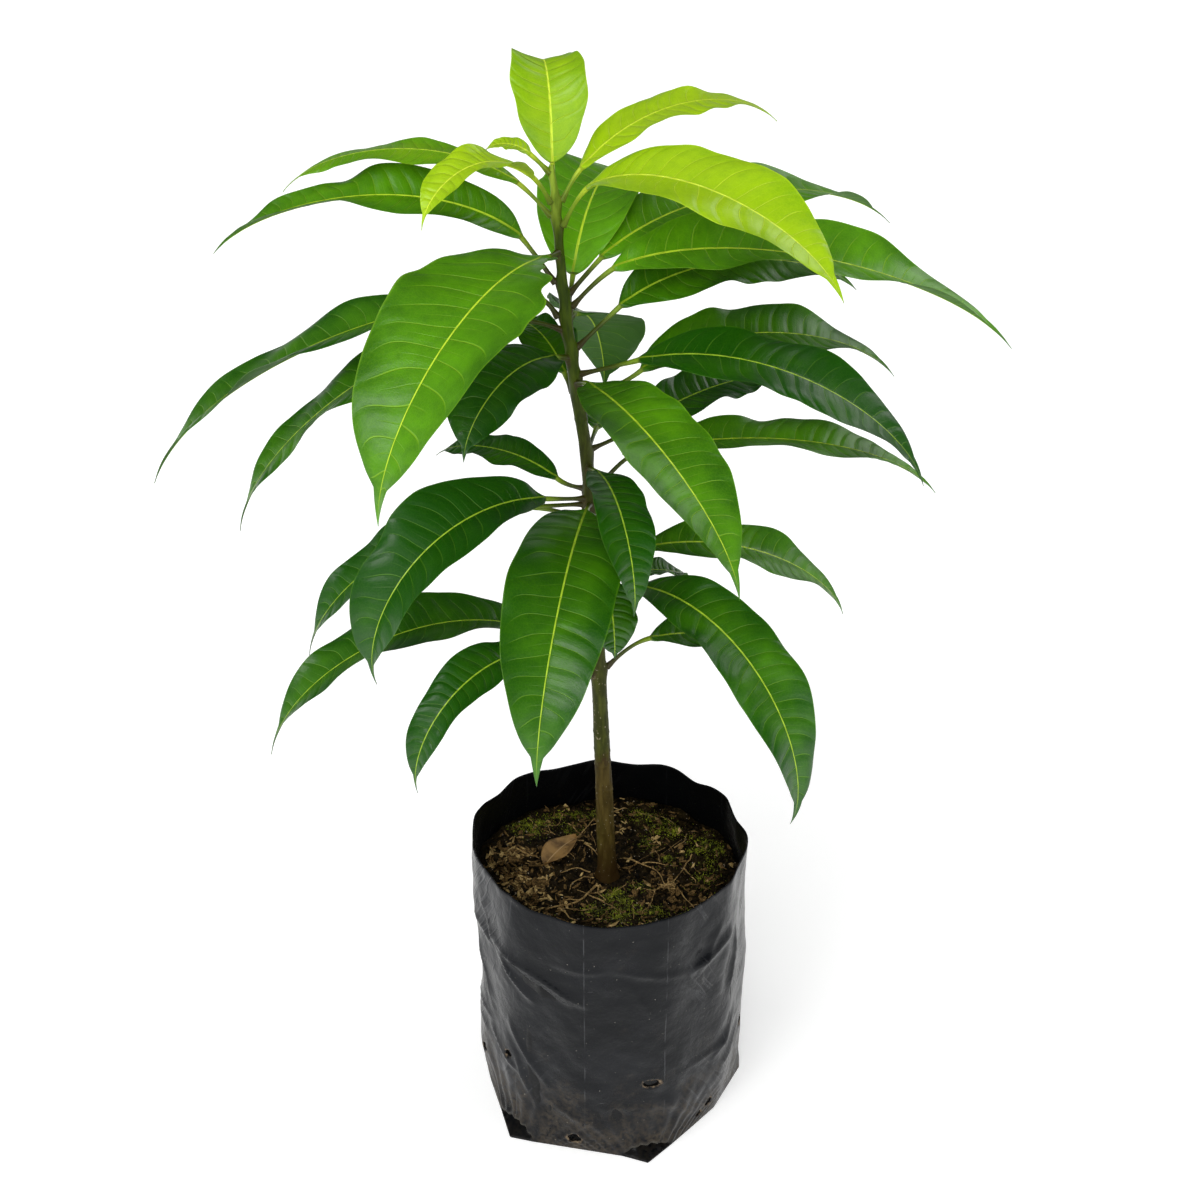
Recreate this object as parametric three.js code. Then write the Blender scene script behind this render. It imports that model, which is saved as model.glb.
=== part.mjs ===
// A mango sapling growing in a black polythene nursery bag of soil.
// Millimetres, +Z up. The origin is the middle of the bag's flat underside.
// Azimuths are seen from above: 0 is right (+X), 90 is back (+Y), 270 is front (-Y).

import * as THREE from "three";

// ---- Driving dimensions ----

const CLEAR = 0.3; // gap between pieces that touch

const BAG_RADIUS = 82; // a flat bag of 10 inches opens to a tube of this radius
const BAG_HEIGHT = 170;
const BAG_WALL = 1.2;
const BAG_FLOOR = 1.5;
const BAG_FOOT_RADIUS = 80.5; // the filled bag's outline on the ground, between the ears
const BAG_FOLDS = 11; // upright folds round the bag
const FIRST_FOLD = -133; // azimuth of the fold next to the left ear
const BAG_STEPS = 55; // points round the bag, five to a fold
const BAG_LEVELS = [0, 5, 16, 36, 90, 146]; // heights of the wall's rings of points
const BAG_BELLY = 0.8; // how far the soil swells the tube
const FOOT_ROUNDING = 12; // height over which the foot widens to the belly
const PANEL_FLATNESS = 0.6; // between two folds the film is round at 0 and flat at 1

const BAG_LEAN = 1.5; // the mouth lies this far to the left, and the foot as far to the right
const WAIST_AZIMUTH = -178; // where the film is drawn in beside the soil
const WAIST_DEPTH = 4.5;
const WAIST_HALF_WIDTH = 27; // degrees
const WAIST_LEVEL = 90;
const WAIST_HALF_HEIGHT = 42;

const EAR_REACH = 12; // how far a folded bottom corner stands out of the foot
const EAR_HALF_WIDTH = 13; // degrees
const EAR_HEIGHT = 34;
const EAR_TAPER = 1.5; // higher draws the ear in sooner above the ground
const EAR_AZIMUTHS = [-130, -75, 48, 108];

const DENT_AZIMUTH = -154; // where the mouth is pushed in
const DENT_DEPTH = 5;
const DENT_HALF_WIDTH = 19; // degrees
const DENT_HEIGHT = 60; // how far down the dent runs

const MOUTH_FOLD_RISE = 0.9; // how far the mouth's edge rises at each fold
const MOUTH_WANDER = 0.8; // how far it rises and falls twice round the bag
const MOUTH_WANDER_START = 40; // degrees

const SOIL_LEVEL = 141; // round the stem
const SOIL_HEAP = 1.2; // how much higher the soil lies further out
const SOIL_LUMP = 1.25; // height of each set of lumps there
const SOIL_LEVEL_REACH = 15; // distance from the axis where the soil starts to rise
const SOIL_RISE_REACH = 40; // how much further out it has risen
const SOIL_LEVELS = [16, 36, 90]; // heights of the rings of points on its side
const SOIL_SHARES = [1, 0.75, 0.45, 0.18]; // its top's rings of points, as shares of the bag's radius
const SOIL_SIDE_GAP = 0.5; // from the film to the soil's side
const SOIL_TOP_GAP = 1.3; // from the film to the soil's top edge
const SOIL_FLOOR_GAP = 3.6; // from the film's outside to the soil's bottom edge

// The stem: height, sideways lean, depthwise lean, diameter.
const STEM = [
  [SOIL_LEVEL + CLEAR, -1.5, 0, 15.5],
  [SOIL_LEVEL + 4, -1.6, 0, 12.8],
  [SOIL_LEVEL + 14, -1.9, 0, 11.4],
  [209, -3.7, 0, 9.5],
  [263, -5.9, 0, 8.5],
  [284, -6.7, 0, 8.4],
  [335, -8.6, 0, 7.8],
  [391, -11.2, 0, 7.2],
  [418, -13.8, 0, 6.6],
  [450, -18.6, 0, 6.2],
  [485, -22.8, 0, 5.4],
  [520, -25.8, 0, 4.4],
  [544, -27.4, 0, 3.6],
];
const STEM_TIP = [556, -28.2, 0];
const STEM_SIDES = 12;
const STEM_STEP = 18; // height of one ring of facets

const STALK_RADIUS = 1.2;
const STALK_FOOT_RADIUS = 1.8; // the swelling where a leaf stalk joins the stem
const STALK_SIDES = 8; // as many as the blade's section has points
const STALK_GAP = 0.45; // from the stem to a stalk's foot
const LEAF_THICKNESS = 1 / 85; // share of the blade's length
const WIDEST_AT = 0.47; // share of the body's length
const FULLNESS = 1.4; // higher is slimmer at both ends
const BODY_SHARE = 0.94; // the rest of the length is the thin drip tip
const DRIP_TIP_RADIUS = 1.1;
const TIP_HOOK = 22; // degrees that the drip tip turns down further
const HOOK_POWER = 8; // higher keeps the hook nearer the tip
const RIPPLES = 2.6; // waves along each margin
const RIPPLE_LEAN = 1.6; // radians by which a wave at the margin runs ahead of the midrib
const BLADE_RINGS = 12;
const STALK_RINGS = 3;

// One leaf a row, in degrees and millimetres:
//   joint height and azimuth; stalk length and rise; blade length and width;
//   lift at the blade's base, droop at its tip, and how soon it bends over;
//   swing sideways; roll (its right side down) at the base and further to the tip;
//   fold up along the midrib; ripple of the margins.
const LEAVES = {
  leaf_01: [548, 99, 8, 74, 87, 37, 84, -115, 2, 0, 0, 0, 16, 1],
  leaf_02: [540, 17, 16, 62, 110, 36, 47, -23, 1, 0, 8, 0, 4, 1],
  leaf_03: [553, 170, 11, 44, 24, 14, 38, -30, 1, 0, -14, 0, 10, 0],
  leaf_04: [540, 223, 16, 57, 78, 27, 38, -60, 1, 0, -8, 0, 14, 1],
  leaf_05: [533, 172, 20, 48, 125, 24, 37, -28, 0.7, 0, -14, 0, -5, 1],
  leaf_06: [501, 181, 26, 56, 159, 33, 51, -26, 0.5, 0, -50, 62, 18, 2],
  leaf_07: [515, 247, 14, 1, 180, 75, 8, -66, 1, -15, 0, 0, 12, 1],
  leaf_08: [484, 183, 16, 60, 226, 42, -1, -46, 1, 0, -4, 0, 14, 3],
  leaf_09: [477, 192, 28, 22, 178, 39, -9, -58, 1, 0, -6, 0, 8, 3],
  leaf_10: [463, 232, 10, 17, 84, 46, 14, -64, 1, 0, -10, 0, 12, 2],
  leaf_11: [444, 122, 10, 45, 54, 32, 46, -12, 1, 0, 0, 0, 14, 2],
  leaf_12: [391, 152, 16, -3, 80, 25, 31, -22, 0.8, 0, -14, 0, 6, 1],
  leaf_13: [387, 214, 24, 12, 150, 48, 15, -86, 1, 0, -22, 0, 24, 2],
  leaf_14: [383, 187, 26, 0, 156, 36, -2, -60, 1, 0, -16, 0, 14, 2],
  leaf_15: [287, 198, 32, 45, 182, 43, 39, -57, 0.8, 0, -6, 0, 16, 2],
  leaf_16: [283, 220.5, 38, 44, 123, 28, 28.5, -83, 0.95, 0, -18, 0, 16, 2],
  leaf_17: [384, 262, 12, 10, 167, 54, 5, -71, 1, -6, -10, 0, 12, 1],
  leaf_18: [404.5, 287, 13, 13.5, 95, 30, 12, -88, 1, 0, -10, 0, 12, 1],
  leaf_19: [350, 291, 12, -14, 44, 26, -34, -84, 1, -16, 0, 0, 14, 1],
  leaf_20: [338, 30, 18, -4, 42, 24, -2, -30, 1, 0, 0, 0, 14, 1],
  leaf_21: [349, 5, 24, 24, 128, 35, 10, -50, 1, 0, 16, 0, 12, 2],
  leaf_22: [334, 315.4, 28, 27, 174, 41, 17.5, -91, 0.9, 0, 14, 0, 14, 2],
  leaf_23: [285, 14, 28, 43, 98, 33, 7, -54, 1, 0, 14, 0, 14, 2],
  leaf_24: [450, 294, 14, 22, 151, 48, 5, -59, 1, 24, 4, 0, 14, 1],
  leaf_25: [479, 76, 12, 14, 94, 54, -6, -78, 1, 0, 10, 0, 12, 1],
  leaf_26: [441, 16, 32, 14, 153, 42, 35, -30, 0.66, 0, 20, -6, 12, 2],
  leaf_27: [454, 350, 30, 16, 167, 46, 18, -49, 0.8, 0, 18, 0, 8, 2],
  leaf_28: [413, 32, 30, 10, 102, 36, 22, -10, 1, 0, 14, 0, 12, 2],
  leaf_29: [393, 2, 36, 53, 157, 38, 8, -29.5, 1.3, 0, 7, 0, 14, 2],
  leaf_30: [468, 14, 28, 42, 134, 40, 40, -24, 0.7, 0, 30, 0, 12, 2],
  leaf_31: [489, 0, 26, 48, 212, 46, 33.5, -28, 0.45, 0, 36, -38, 18, 3],
  leaf_32: [529, 331, 22, 62, 146, 49, 41, -41, 0.5, 0, 19, 0, 14, 1],
  leaf_33: [495, 29, 22, 42, 190, 44, 39.5, -21, 0.6, 0, 26, -28, 10, 3],
  leaf_34: [487, 73.5, 16, 57, 144, 58, 61, -50, 1, 0, 0, 0, 14, 1],
  leaf_35: [286, 100, 26, 40, 110, 36, 20, -60, 1, 0, 0, 0, 14, 1],
  leaf_36: [374, 142, 32, -4, 116, 34, -8, -60, 1, 0, 0, 0, 14, 2],
  leaf_37: [410, 80, 26, 12, 110, 34, 4, -58, 1, 0, 0, 0, 14, 2],
};

const FINISHES = {
  bag: { color: 0x17191d, roughness: 0.35 },
  soil: { color: 0x2c2118, roughness: 0.95 },
  bark: { color: 0x5e5139, roughness: 0.8 },
  leaf: { color: 0x2f6a12, roughness: 0.4 },
  youngLeaf: { color: 0x8fb81c, roughness: 0.4 },
};
const YOUNG_LEAVES = ["leaf_01", "leaf_02", "leaf_03", "leaf_04", "leaf_05", "leaf_32"];

// ---- Helpers ----

const rad = THREE.MathUtils.degToRad;
const mix = THREE.MathUtils.lerp;

// A closed body skinned over rings of equally many points. A ring of one point is a pole.
// Each four-sided facet is split along the diagonal that climbs, so nested shells keep apart.
function loft(rings) {
  const positions = [];
  const faces = [];
  const starts = [];
  for (const ring of rings) {
    starts.push(positions.length / 3);
    for (const point of ring) {
      positions.push(point.x, point.y, point.z);
    }
  }
  for (let row = 0; row + 1 < rings.length; row += 1) {
    const lower = starts[row];
    const upper = starts[row + 1];
    const around = Math.max(rings[row].length, rings[row + 1].length);
    for (let i = 0; i < around; i += 1) {
      const next = (i + 1) % around;
      if (rings[row].length === 1) {
        faces.push(lower, upper + next, upper + i);
      } else if (rings[row + 1].length === 1) {
        faces.push(lower + i, lower + next, upper);
      } else if (rings[row][0].z > rings[row + 1][0].z) {
        faces.push(lower + i, lower + next, upper + i);
        faces.push(lower + next, upper + next, upper + i);
      } else {
        faces.push(lower + i, lower + next, upper + next);
        faces.push(lower + i, upper + next, upper + i);
      }
    }
  }
  const geometry = new THREE.BufferGeometry();
  geometry.setAttribute("position", new THREE.Float32BufferAttribute(positions, 3));
  geometry.setIndex(faces);
  geometry.computeVertexNormals();
  return geometry;
}

// A level ring of points whose distance from the axis depends on the azimuth.
function levelRing(count, radiusAt, heightAt) {
  const ring = [];
  for (let i = 0; i < count; i += 1) {
    const azimuth = FIRST_FOLD + (360 * i) / count;
    const radius = radiusAt(azimuth);
    const x = radius * Math.cos(rad(azimuth));
    const y = radius * Math.sin(rad(azimuth));
    ring.push(new THREE.Vector3(x, y, heightAt(azimuth)));
  }
  return ring;
}

function pole(x, y, z) {
  return [new THREE.Vector3(x, y, z)];
}

// A smooth bump that is 1 at the centre azimuth and falls away round the circle.
function bump(azimuth, centre, halfWidth) {
  const off = ((azimuth - centre + 540) % 360) - 180;
  return Math.exp(-((off / halfWidth) ** 2));
}

function addPiece(group, name, geometry, finish) {
  const material = new THREE.MeshStandardMaterial({ ...finish, metalness: 0 });
  const mesh = new THREE.Mesh(geometry, material);
  mesh.name = name;
  group.add(mesh);
}

// ---- The bag: blown film, filled, so it stands as a soft tube of upright folds ----

// How far the film lies from the axis, at an azimuth and a height above the ground.
function bagRadius(azimuth, height) {
  const foldPhase = (azimuth - FIRST_FOLD) * (BAG_FOLDS / 360);
  const acrossPanel = foldPhase - Math.floor(foldPhase) - 0.5;
  const panelHalfAngle = rad(180 / BAG_FOLDS);
  const flatPanel = Math.cos(panelHalfAngle) / Math.cos(2 * panelHalfAngle * acrossPanel);
  const panel = mix(1, flatPanel, PANEL_FLATNESS);
  const swollen = Math.sqrt(Math.min(height / FOOT_ROUNDING, 1));
  const belly = mix(BAG_FOOT_RADIUS, BAG_RADIUS + BAG_BELLY, swollen);
  const ears = EAR_AZIMUTHS.map((centre) => bump(azimuth, centre, EAR_HALF_WIDTH));
  const ear = EAR_REACH * Math.max(...ears) * Math.max(1 - height / EAR_HEIGHT, 0) ** EAR_TAPER;
  const dentFade = Math.max(1 - (BAG_HEIGHT - height) / DENT_HEIGHT, 0);
  const dent = DENT_DEPTH * bump(azimuth, DENT_AZIMUTH, DENT_HALF_WIDTH) * dentFade;
  const lean = BAG_LEAN * Math.cos(rad(azimuth)) * (1 - (2 * height) / BAG_HEIGHT);
  const drawnIn = Math.exp(-(((height - WAIST_LEVEL) / WAIST_HALF_HEIGHT) ** 2));
  const waist = WAIST_DEPTH * bump(azimuth, WAIST_AZIMUTH, WAIST_HALF_WIDTH) * drawnIn;
  return belly * panel + ear + lean - dent - waist;
}

// The mouth is cut by hand, so its edge rises a little at each fold.
function mouthHeight(azimuth) {
  const fold = Math.cos(rad((azimuth - FIRST_FOLD) * BAG_FOLDS));
  const wander = Math.sin(rad(2 * azimuth + MOUTH_WANDER_START));
  return BAG_HEIGHT + MOUTH_FOLD_RISE * fold + MOUTH_WANDER * wander;
}

function makeBag() {
  const wallRing = (height, inset) =>
    levelRing(BAG_STEPS, (azimuth) => bagRadius(azimuth, height) - inset, () => height);
  const mouthRing = (inset) =>
    levelRing(BAG_STEPS, (azimuth) => bagRadius(azimuth, BAG_HEIGHT) - inset, mouthHeight);
  const outside = BAG_LEVELS.map((height) => wallRing(height, 0));
  const inside = BAG_LEVELS.slice(2).map((height) => wallRing(height, BAG_WALL));
  const innerFloor = levelRing(
    BAG_STEPS,
    (azimuth) => bagRadius(azimuth, BAG_LEVELS[1]) - 2 * BAG_WALL,
    () => BAG_FLOOR,
  );
  return loft([
    pole(0, 0, 0),
    ...outside,
    mouthRing(0),
    mouthRing(BAG_WALL),
    ...inside.reverse(),
    innerFloor,
    pole(0, 0, BAG_FLOOR),
  ]);
}

// ---- The soil: fills the bag up to a lumpy surface, level under the stem ----

function soilHeight(azimuth, radius) {
  const lumps = Math.sin(rad(3 * azimuth)) + Math.sin(rad(5 * azimuth + 70));
  const away = Math.min(Math.max(radius - SOIL_LEVEL_REACH, 0) / SOIL_RISE_REACH, 1);
  return SOIL_LEVEL + away * (SOIL_HEAP + SOIL_LUMP * lumps);
}

function makeSoil() {
  const inside = (azimuth, height, gap) => bagRadius(azimuth, height) - BAG_WALL - gap;
  const floorRing = levelRing(
    BAG_STEPS,
    (azimuth) => bagRadius(azimuth, BAG_LEVELS[1]) - SOIL_FLOOR_GAP,
    () => BAG_FLOOR + CLEAR,
  );
  const sides = SOIL_LEVELS.map((height) =>
    levelRing(BAG_STEPS, (azimuth) => inside(azimuth, height, SOIL_SIDE_GAP), () => height),
  );
  const top = SOIL_SHARES.map((share) =>
    levelRing(
      BAG_STEPS,
      (azimuth) => share * inside(azimuth, SOIL_LEVEL, SOIL_TOP_GAP),
      (azimuth) => soilHeight(azimuth, share * BAG_RADIUS),
    ),
  );
  return loft([pole(0, 0, BAG_FLOOR + CLEAR), floorRing, ...sides, ...top, pole(0, 0, SOIL_LEVEL)]);
}

// ---- The trunk: one leaning stem that flares where it meets the soil ----

// The stem's centre and radius at a height, between the listed places.
function stemAt(height) {
  let upper = 1;
  while (upper < STEM.length - 1 && STEM[upper][0] < height) {
    upper += 1;
  }
  const [z0, x0, y0, d0] = STEM[upper - 1];
  const [z1, x1, y1, d1] = STEM[upper];
  const share = (height - z0) / (z1 - z0);
  const radius = mix(d0, d1, share) / 2;
  return { centre: new THREE.Vector3(mix(x0, x1, share), mix(y0, y1, share), height), radius };
}

function makeTrunk() {
  const heights = [];
  for (let place = 0; place + 1 < STEM.length; place += 1) {
    const [low] = STEM[place];
    const [high] = STEM[place + 1];
    const parts = Math.max(1, Math.round((high - low) / STEM_STEP));
    for (let i = 0; i < parts; i += 1) {
      heights.push(mix(low, high, i / parts));
    }
  }
  heights.push(STEM[STEM.length - 1][0]);
  const rings = heights.map((height) => {
    const { centre, radius } = stemAt(height);
    const ring = levelRing(STEM_SIDES, () => radius, () => height);
    return ring.map((point) => point.add(new THREE.Vector3(centre.x, centre.y, 0)));
  });
  const foot = rings[0];
  const [tipHeight, tipX, tipY] = STEM_TIP;
  return loft([pole(STEM[0][1], STEM[0][2], foot[0].z), ...rings, pole(tipX, tipY, tipHeight)]);
}

// ---- The leaves: a round stalk that opens into a folded, drooping blade ----

// The blade's width at a share of its length, as a share of its greatest width.
function bladeOutline(t) {
  const along = Math.min(t / BODY_SHARE, 1);
  const base = (along / WIDEST_AT) ** (FULLNESS * WIDEST_AT);
  const tip = ((1 - along) / (1 - WIDEST_AT)) ** (FULLNESS * (1 - WIDEST_AT));
  return base * tip;
}

function directionOf(azimuth, elevation) {
  const level = Math.cos(rad(elevation));
  return new THREE.Vector3(
    level * Math.cos(rad(azimuth)),
    level * Math.sin(rad(azimuth)),
    Math.sin(rad(elevation)),
  );
}

// Right, up and forward along a stem or blade that runs in a direction and is rolled about it.
function frameOf(azimuth, elevation, roll) {
  const forward = directionOf(azimuth, elevation);
  const right = directionOf(azimuth - 90, 0);
  const up = new THREE.Vector3().crossVectors(right, forward);
  right.applyAxisAngle(forward, rad(roll));
  up.applyAxisAngle(forward, rad(roll));
  return { forward, right, up };
}

function makeLeaf(row) {
  const [joint, azimuth, stalk, rise, blade, width, lift, droop, bend, swing, roll, twist, fold, ripple] =
    row;
  const stem = stemAt(joint);
  const start = frameOf(azimuth, rise, 0);
  const reach = stem.radius + STALK_GAP + STALK_FOOT_RADIUS * Math.sin(rad(Math.abs(rise)));
  const place = stem.centre.clone().add(directionOf(azimuth, 0).multiplyScalar(reach));
  const rings = [[place.clone()]];

  const roundRing = (centre, frame, radius) => {
    const ring = [];
    for (let i = 0; i < STALK_SIDES; i += 1) {
      const angle = rad((360 * i) / STALK_SIDES);
      const point = centre.clone();
      point.addScaledVector(frame.right, radius * Math.cos(angle));
      point.addScaledVector(frame.up, -radius * Math.sin(angle));
      ring.push(point);
    }
    return ring;
  };

  rings.push(roundRing(place, start, STALK_FOOT_RADIUS));
  for (let i = 1; i <= STALK_RINGS; i += 1) {
    const along = i / STALK_RINGS;
    const middle = mix(rise, lift, ((i - 0.5) / STALK_RINGS) ** 2);
    place.addScaledVector(directionOf(azimuth, middle), stalk / STALK_RINGS);
    const frame = frameOf(azimuth, mix(rise, lift, along ** 2), roll * along);
    rings.push(roundRing(place, frame, STALK_RADIUS));
  }

  const elevationAt = (t) => mix(lift, droop, t ** bend) - TIP_HOOK * t ** HOOK_POWER;
  const halfThick = (blade * LEAF_THICKNESS) / 2;
  const outward = Math.cos(rad(fold));
  const upward = Math.sin(rad(fold));
  for (let i = 1; i <= BLADE_RINGS; i += 1) {
    const t = i / (BLADE_RINGS + 1);
    const middle = (i - 0.5) / (BLADE_RINGS + 1);
    const heading = azimuth + swing * middle;
    place.addScaledVector(directionOf(heading, elevationAt(middle)), blade / (BLADE_RINGS + 1));
    const frame = frameOf(azimuth + swing * t, elevationAt(t), roll + twist * t);
    const half = Math.max((width / 2) * bladeOutline(t), DRIP_TIP_RADIUS);
    const at = (across, side) => {
      const phase = 2 * Math.PI * RIPPLES * t + RIPPLE_LEAN * across;
      const wave = ripple * Math.sin(phase) * across ** 2;
      const lifted = half * Math.abs(across) * upward + wave * Math.sin(Math.PI * t);
      const point = place.clone();
      point.addScaledVector(frame.right, half * across * outward);
      point.addScaledVector(frame.up, lifted + side * halfThick);
      return point;
    };
    rings.push([
      at(1, 0),
      at(0.5, -1),
      at(0, -1),
      at(-0.5, -1),
      at(-1, 0),
      at(-0.5, 1),
      at(0, 1),
      at(0.5, 1),
    ]);
  }
  const last = (BLADE_RINGS + 0.5) / (BLADE_RINGS + 1);
  const heading = azimuth + swing * last;
  place.addScaledVector(directionOf(heading, elevationAt(last)), blade / (BLADE_RINGS + 1));
  rings.push([place.clone()]);
  return loft(rings);
}

// ---- The object ----

const sapling = new THREE.Group();
sapling.name = "potted_mango_sapling";
addPiece(sapling, "nursery_bag", makeBag(), FINISHES.bag);
addPiece(sapling, "soil", makeSoil(), FINISHES.soil);
addPiece(sapling, "trunk", makeTrunk(), FINISHES.bark);
for (const [name, row] of Object.entries(LEAVES)) {
  const finish = YOUNG_LEAVES.includes(name) ? FINISHES.youngLeaf : FINISHES.leaf;
  addPiece(sapling, name, makeLeaf(row), finish);
}

export default sapling;
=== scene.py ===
import bpy
import numpy as np
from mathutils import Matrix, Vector


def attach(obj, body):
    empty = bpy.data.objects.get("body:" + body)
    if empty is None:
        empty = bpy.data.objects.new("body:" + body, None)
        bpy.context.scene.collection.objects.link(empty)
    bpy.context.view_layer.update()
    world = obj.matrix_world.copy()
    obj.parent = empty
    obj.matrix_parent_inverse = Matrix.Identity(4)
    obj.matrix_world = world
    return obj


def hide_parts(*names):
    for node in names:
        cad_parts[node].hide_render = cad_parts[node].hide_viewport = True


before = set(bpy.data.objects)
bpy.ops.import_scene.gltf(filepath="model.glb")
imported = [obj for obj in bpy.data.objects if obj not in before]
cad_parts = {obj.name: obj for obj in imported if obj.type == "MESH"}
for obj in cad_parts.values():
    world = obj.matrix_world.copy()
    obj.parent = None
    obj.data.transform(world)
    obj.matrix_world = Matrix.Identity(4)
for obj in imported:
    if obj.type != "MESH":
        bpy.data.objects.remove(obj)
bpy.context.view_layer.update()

# ---- The nursery bag ----
# A bag of black polythene film: a blown tube, heat-sealed across its bottom, with drainage holes punched low
# down. The soil rounds it out into a soft drum. Its sealed corners stay folded as small ears, its old folds
# show as upright lines, and the free film above the soil waves a little.

MM = 0.001  # shapes are worked out in millimetres
BAG_RADIUS = 82.0
BAG_BULGE, BAG_FLATTENING = 0.8, 0.6  # swell past the blown tube, and share of full flatness between two folds
BAG_HEIGHT = 170.0
BAG_FLOOR = 1.5
FILM = 0.7  # the wall's thickness, rolled a little at the mouth
FOLDS = 11
FIRST_FOLD = -133.0  # azimuth of the fold next to the left ear
FOOT_HEIGHT, FOOT_BLEND = 32.0, 1.6  # the foot's outline turns into the round belly over this height, this soon
FOOT_CORNERS = (  # azimuth and radius of the corners of the flattened foot
    (-175, 77.8), (-160, 78.4), (-144, 82.4), (-122, 87.0), (-85, 84.9), (-64.5, 84.4), (-52, 79.8),
    (-36, 79.4), (-9, 83.6), (14, 82.4), (38, 83.5), (58, 83.5), (78, 80.0), (98, 83.5), (118, 83.5),
    (140, 79.6), (163, 77.8),
)
EARS = (  # the folded bottom corners, flat under the foot: azimuths of both ends and the point, and the reach
    (-144, -122, -130.5, 92.4), (-85, -64.5, -76, 92.5), (38, 58, 48, 91.5), (98, 118, 108, 91.5),
)
EAR_FILM, EAR_CREASE = 0.9, 4.6  # thickness at the ear's edge, and height of the crease above it
EAR_TUCK = 1.8  # the film steps this far back above an ear
EAR_LIP, LIP_ABOVE, LIP_HALF = 1.0, 2.4, 2.2  # swell over the crease: its rise, its place and its half width
DENT_AZIMUTH, DENT_DEPTH, DENT_HALF_WIDTH, DENT_HEIGHT = -154.0, 5.0, 19.0, 60.0
BAG_LEAN = 1.5  # the mouth lies this far to the left, and the foot as far to the right
WAIST_AZIMUTH, WAIST_DEPTH, WAIST_HALF_WIDTH, WAIST_LEVEL, WAIST_HALF_HEIGHT = -178.0, 4.5, 27.0, 90.0, 42.0
SOIL_LEVEL = 141.0
ARC = BAG_RADIUS * np.pi / 180  # millimetres of film to a degree
BAG_AROUND = 500

FOLD_PRESS = 1.25  # how much deeper the listed folds are pressed in
FOLD_SHARPNESS = 1.15  # 2 would be a round ridge, 1 a sharp one
HOLLOW_SHARE, HOLLOW_BESIDE, HOLLOW_HALF = 0.3, 2.2, 1.4  # a hollow runs beside each fold, in its half widths
# Folds in the film: azimuth and height of one end, then of the other, rise, and half width in millimetres.
FILM_FOLDS = (
    (-150, 134, -122, 127, 1.9, 2.6), (-127, 129, -98, 112, 1.8, 2.4), (-143, 128, -121, 104, 1.7, 2.2),
    (-131, 127, -104, 111, 1.2, 2.0), (-116, 137, -90, 138, 0.8, 1.8), (-92, 138, -55, 126, 0.8, 2.2),
    (-30, 136, -58, 123, 1.6, 2.6), (-25, 134, -31, 86, 1.7, 2.6), (-38, 150, -52, 118, 1.1, 3.0),
    (-137, 82, -115, 40, 1.5, 2.6), (-157, 62, -126, 42, 1.4, 2.4), (-133, 60, -122, 22, 1.2, 2.2),
    (-14, 56, -62, 53, 0.8, 2.2), (-12, 44, -38, 37, 1.2, 2.4), (-20, 70, -44, 46, 1.2, 2.6),
    (-124, 38, -92, 18, 0.9, 3.0), (-97, 35, -60, 32, 0.7, 3.0), (-70, 40, -50, 12, 0.9, 3.0),
    (-165, 120, -150, 70, 1.2, 3.0), (-160, 150, -138, 118, 1.4, 2.6), (-84, 130, -70, 96, 0.5, 3.0),
)
SWELLS = (  # cells round the bag, millimetres up the film to a cell, its slant, and its height
    (14, 45, 0, 0.9), (32, 15, 0, 0.5), (60, 7, 1 / 40, 0.3),
)
PUCKER_HALF_WIDTH, PUCKER_TOP, PUCKER_RISE = 26, 60, 0.8  # the fan above an ear: degrees, then millimetres
MOUTH_WAVE = 1.3  # of the free film, in and out
MOUTH_PEAKS, MOUTH_SWAY, MOUTH_WAVER = 0.9, 0.8, 0.5  # its edge peaks at each fold, sways twice round and wavers
HOLE_DEPTH, HOLE_RIM = 3.0, 0.35  # the film is pressed in at a hole and stands up round it
# Punched holes: azimuth, height, half width and half height in millimetres.
PUNCHED_HOLES = (
    (-73, 51.6, 4.2, 2.1), (-105, 9, 3.4, 2.2), (-42, 12, 2.6, 2.2), (-48, 8, 2.0, 1.6), (-10, 40, 2.6, 2.2),
    (-136.6, 54, 2.2, 1.8), (-160.4, 31, 2.8, 2.2), (24, 50, 2.8, 2.2), (66, 12, 2.8, 2.2),
    (84, 52, 2.6, 2.2), (126, 14, 2.6, 2.0), (150, 50, 3.0, 2.2), (178, 12, 2.4, 2.0),
)


def off_azimuth(azimuth, centre):
    """Signed turn from the centre azimuth, between -180 and 180 degrees."""
    return (azimuth - centre + 540) % 360 - 180


def sine(degrees):
    """The sine of an angle in degrees."""
    return np.sin(np.radians(degrees))


def cosine(degrees):
    """The cosine of an angle in degrees."""
    return np.cos(np.radians(degrees))


def hump(off, half):
    """1 at zero, next to nothing two half widths away: e to the power of minus the square of off over half."""
    return np.exp(-((off / half) ** 2))


def straight_between(azimuth, corners):
    """Distance from the axis of a many-sided outline with corners at (azimuth, radius), where a side's distance
    is the product of its corners' radii and the sine of its span, over the sum of each radius times the sine of
    the turn from the other corner."""
    turn, radius = np.array(corners, float).T
    azimuth = (np.asarray(azimuth, float) - turn[0]) % 360 + turn[0]
    at = np.clip(np.searchsorted(turn, azimuth, "right") - 1, 0, len(turn) - 1)
    turn, radius = np.append(turn, turn[0] + 360), np.append(radius, radius[0])
    before, after = np.radians(azimuth - turn[at]), np.radians(turn[at + 1] - azimuth)
    return radius[at] * radius[at + 1] * np.sin(before + after) / (
        radius[at] * np.sin(before) + radius[at + 1] * np.sin(after)
    )


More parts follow.
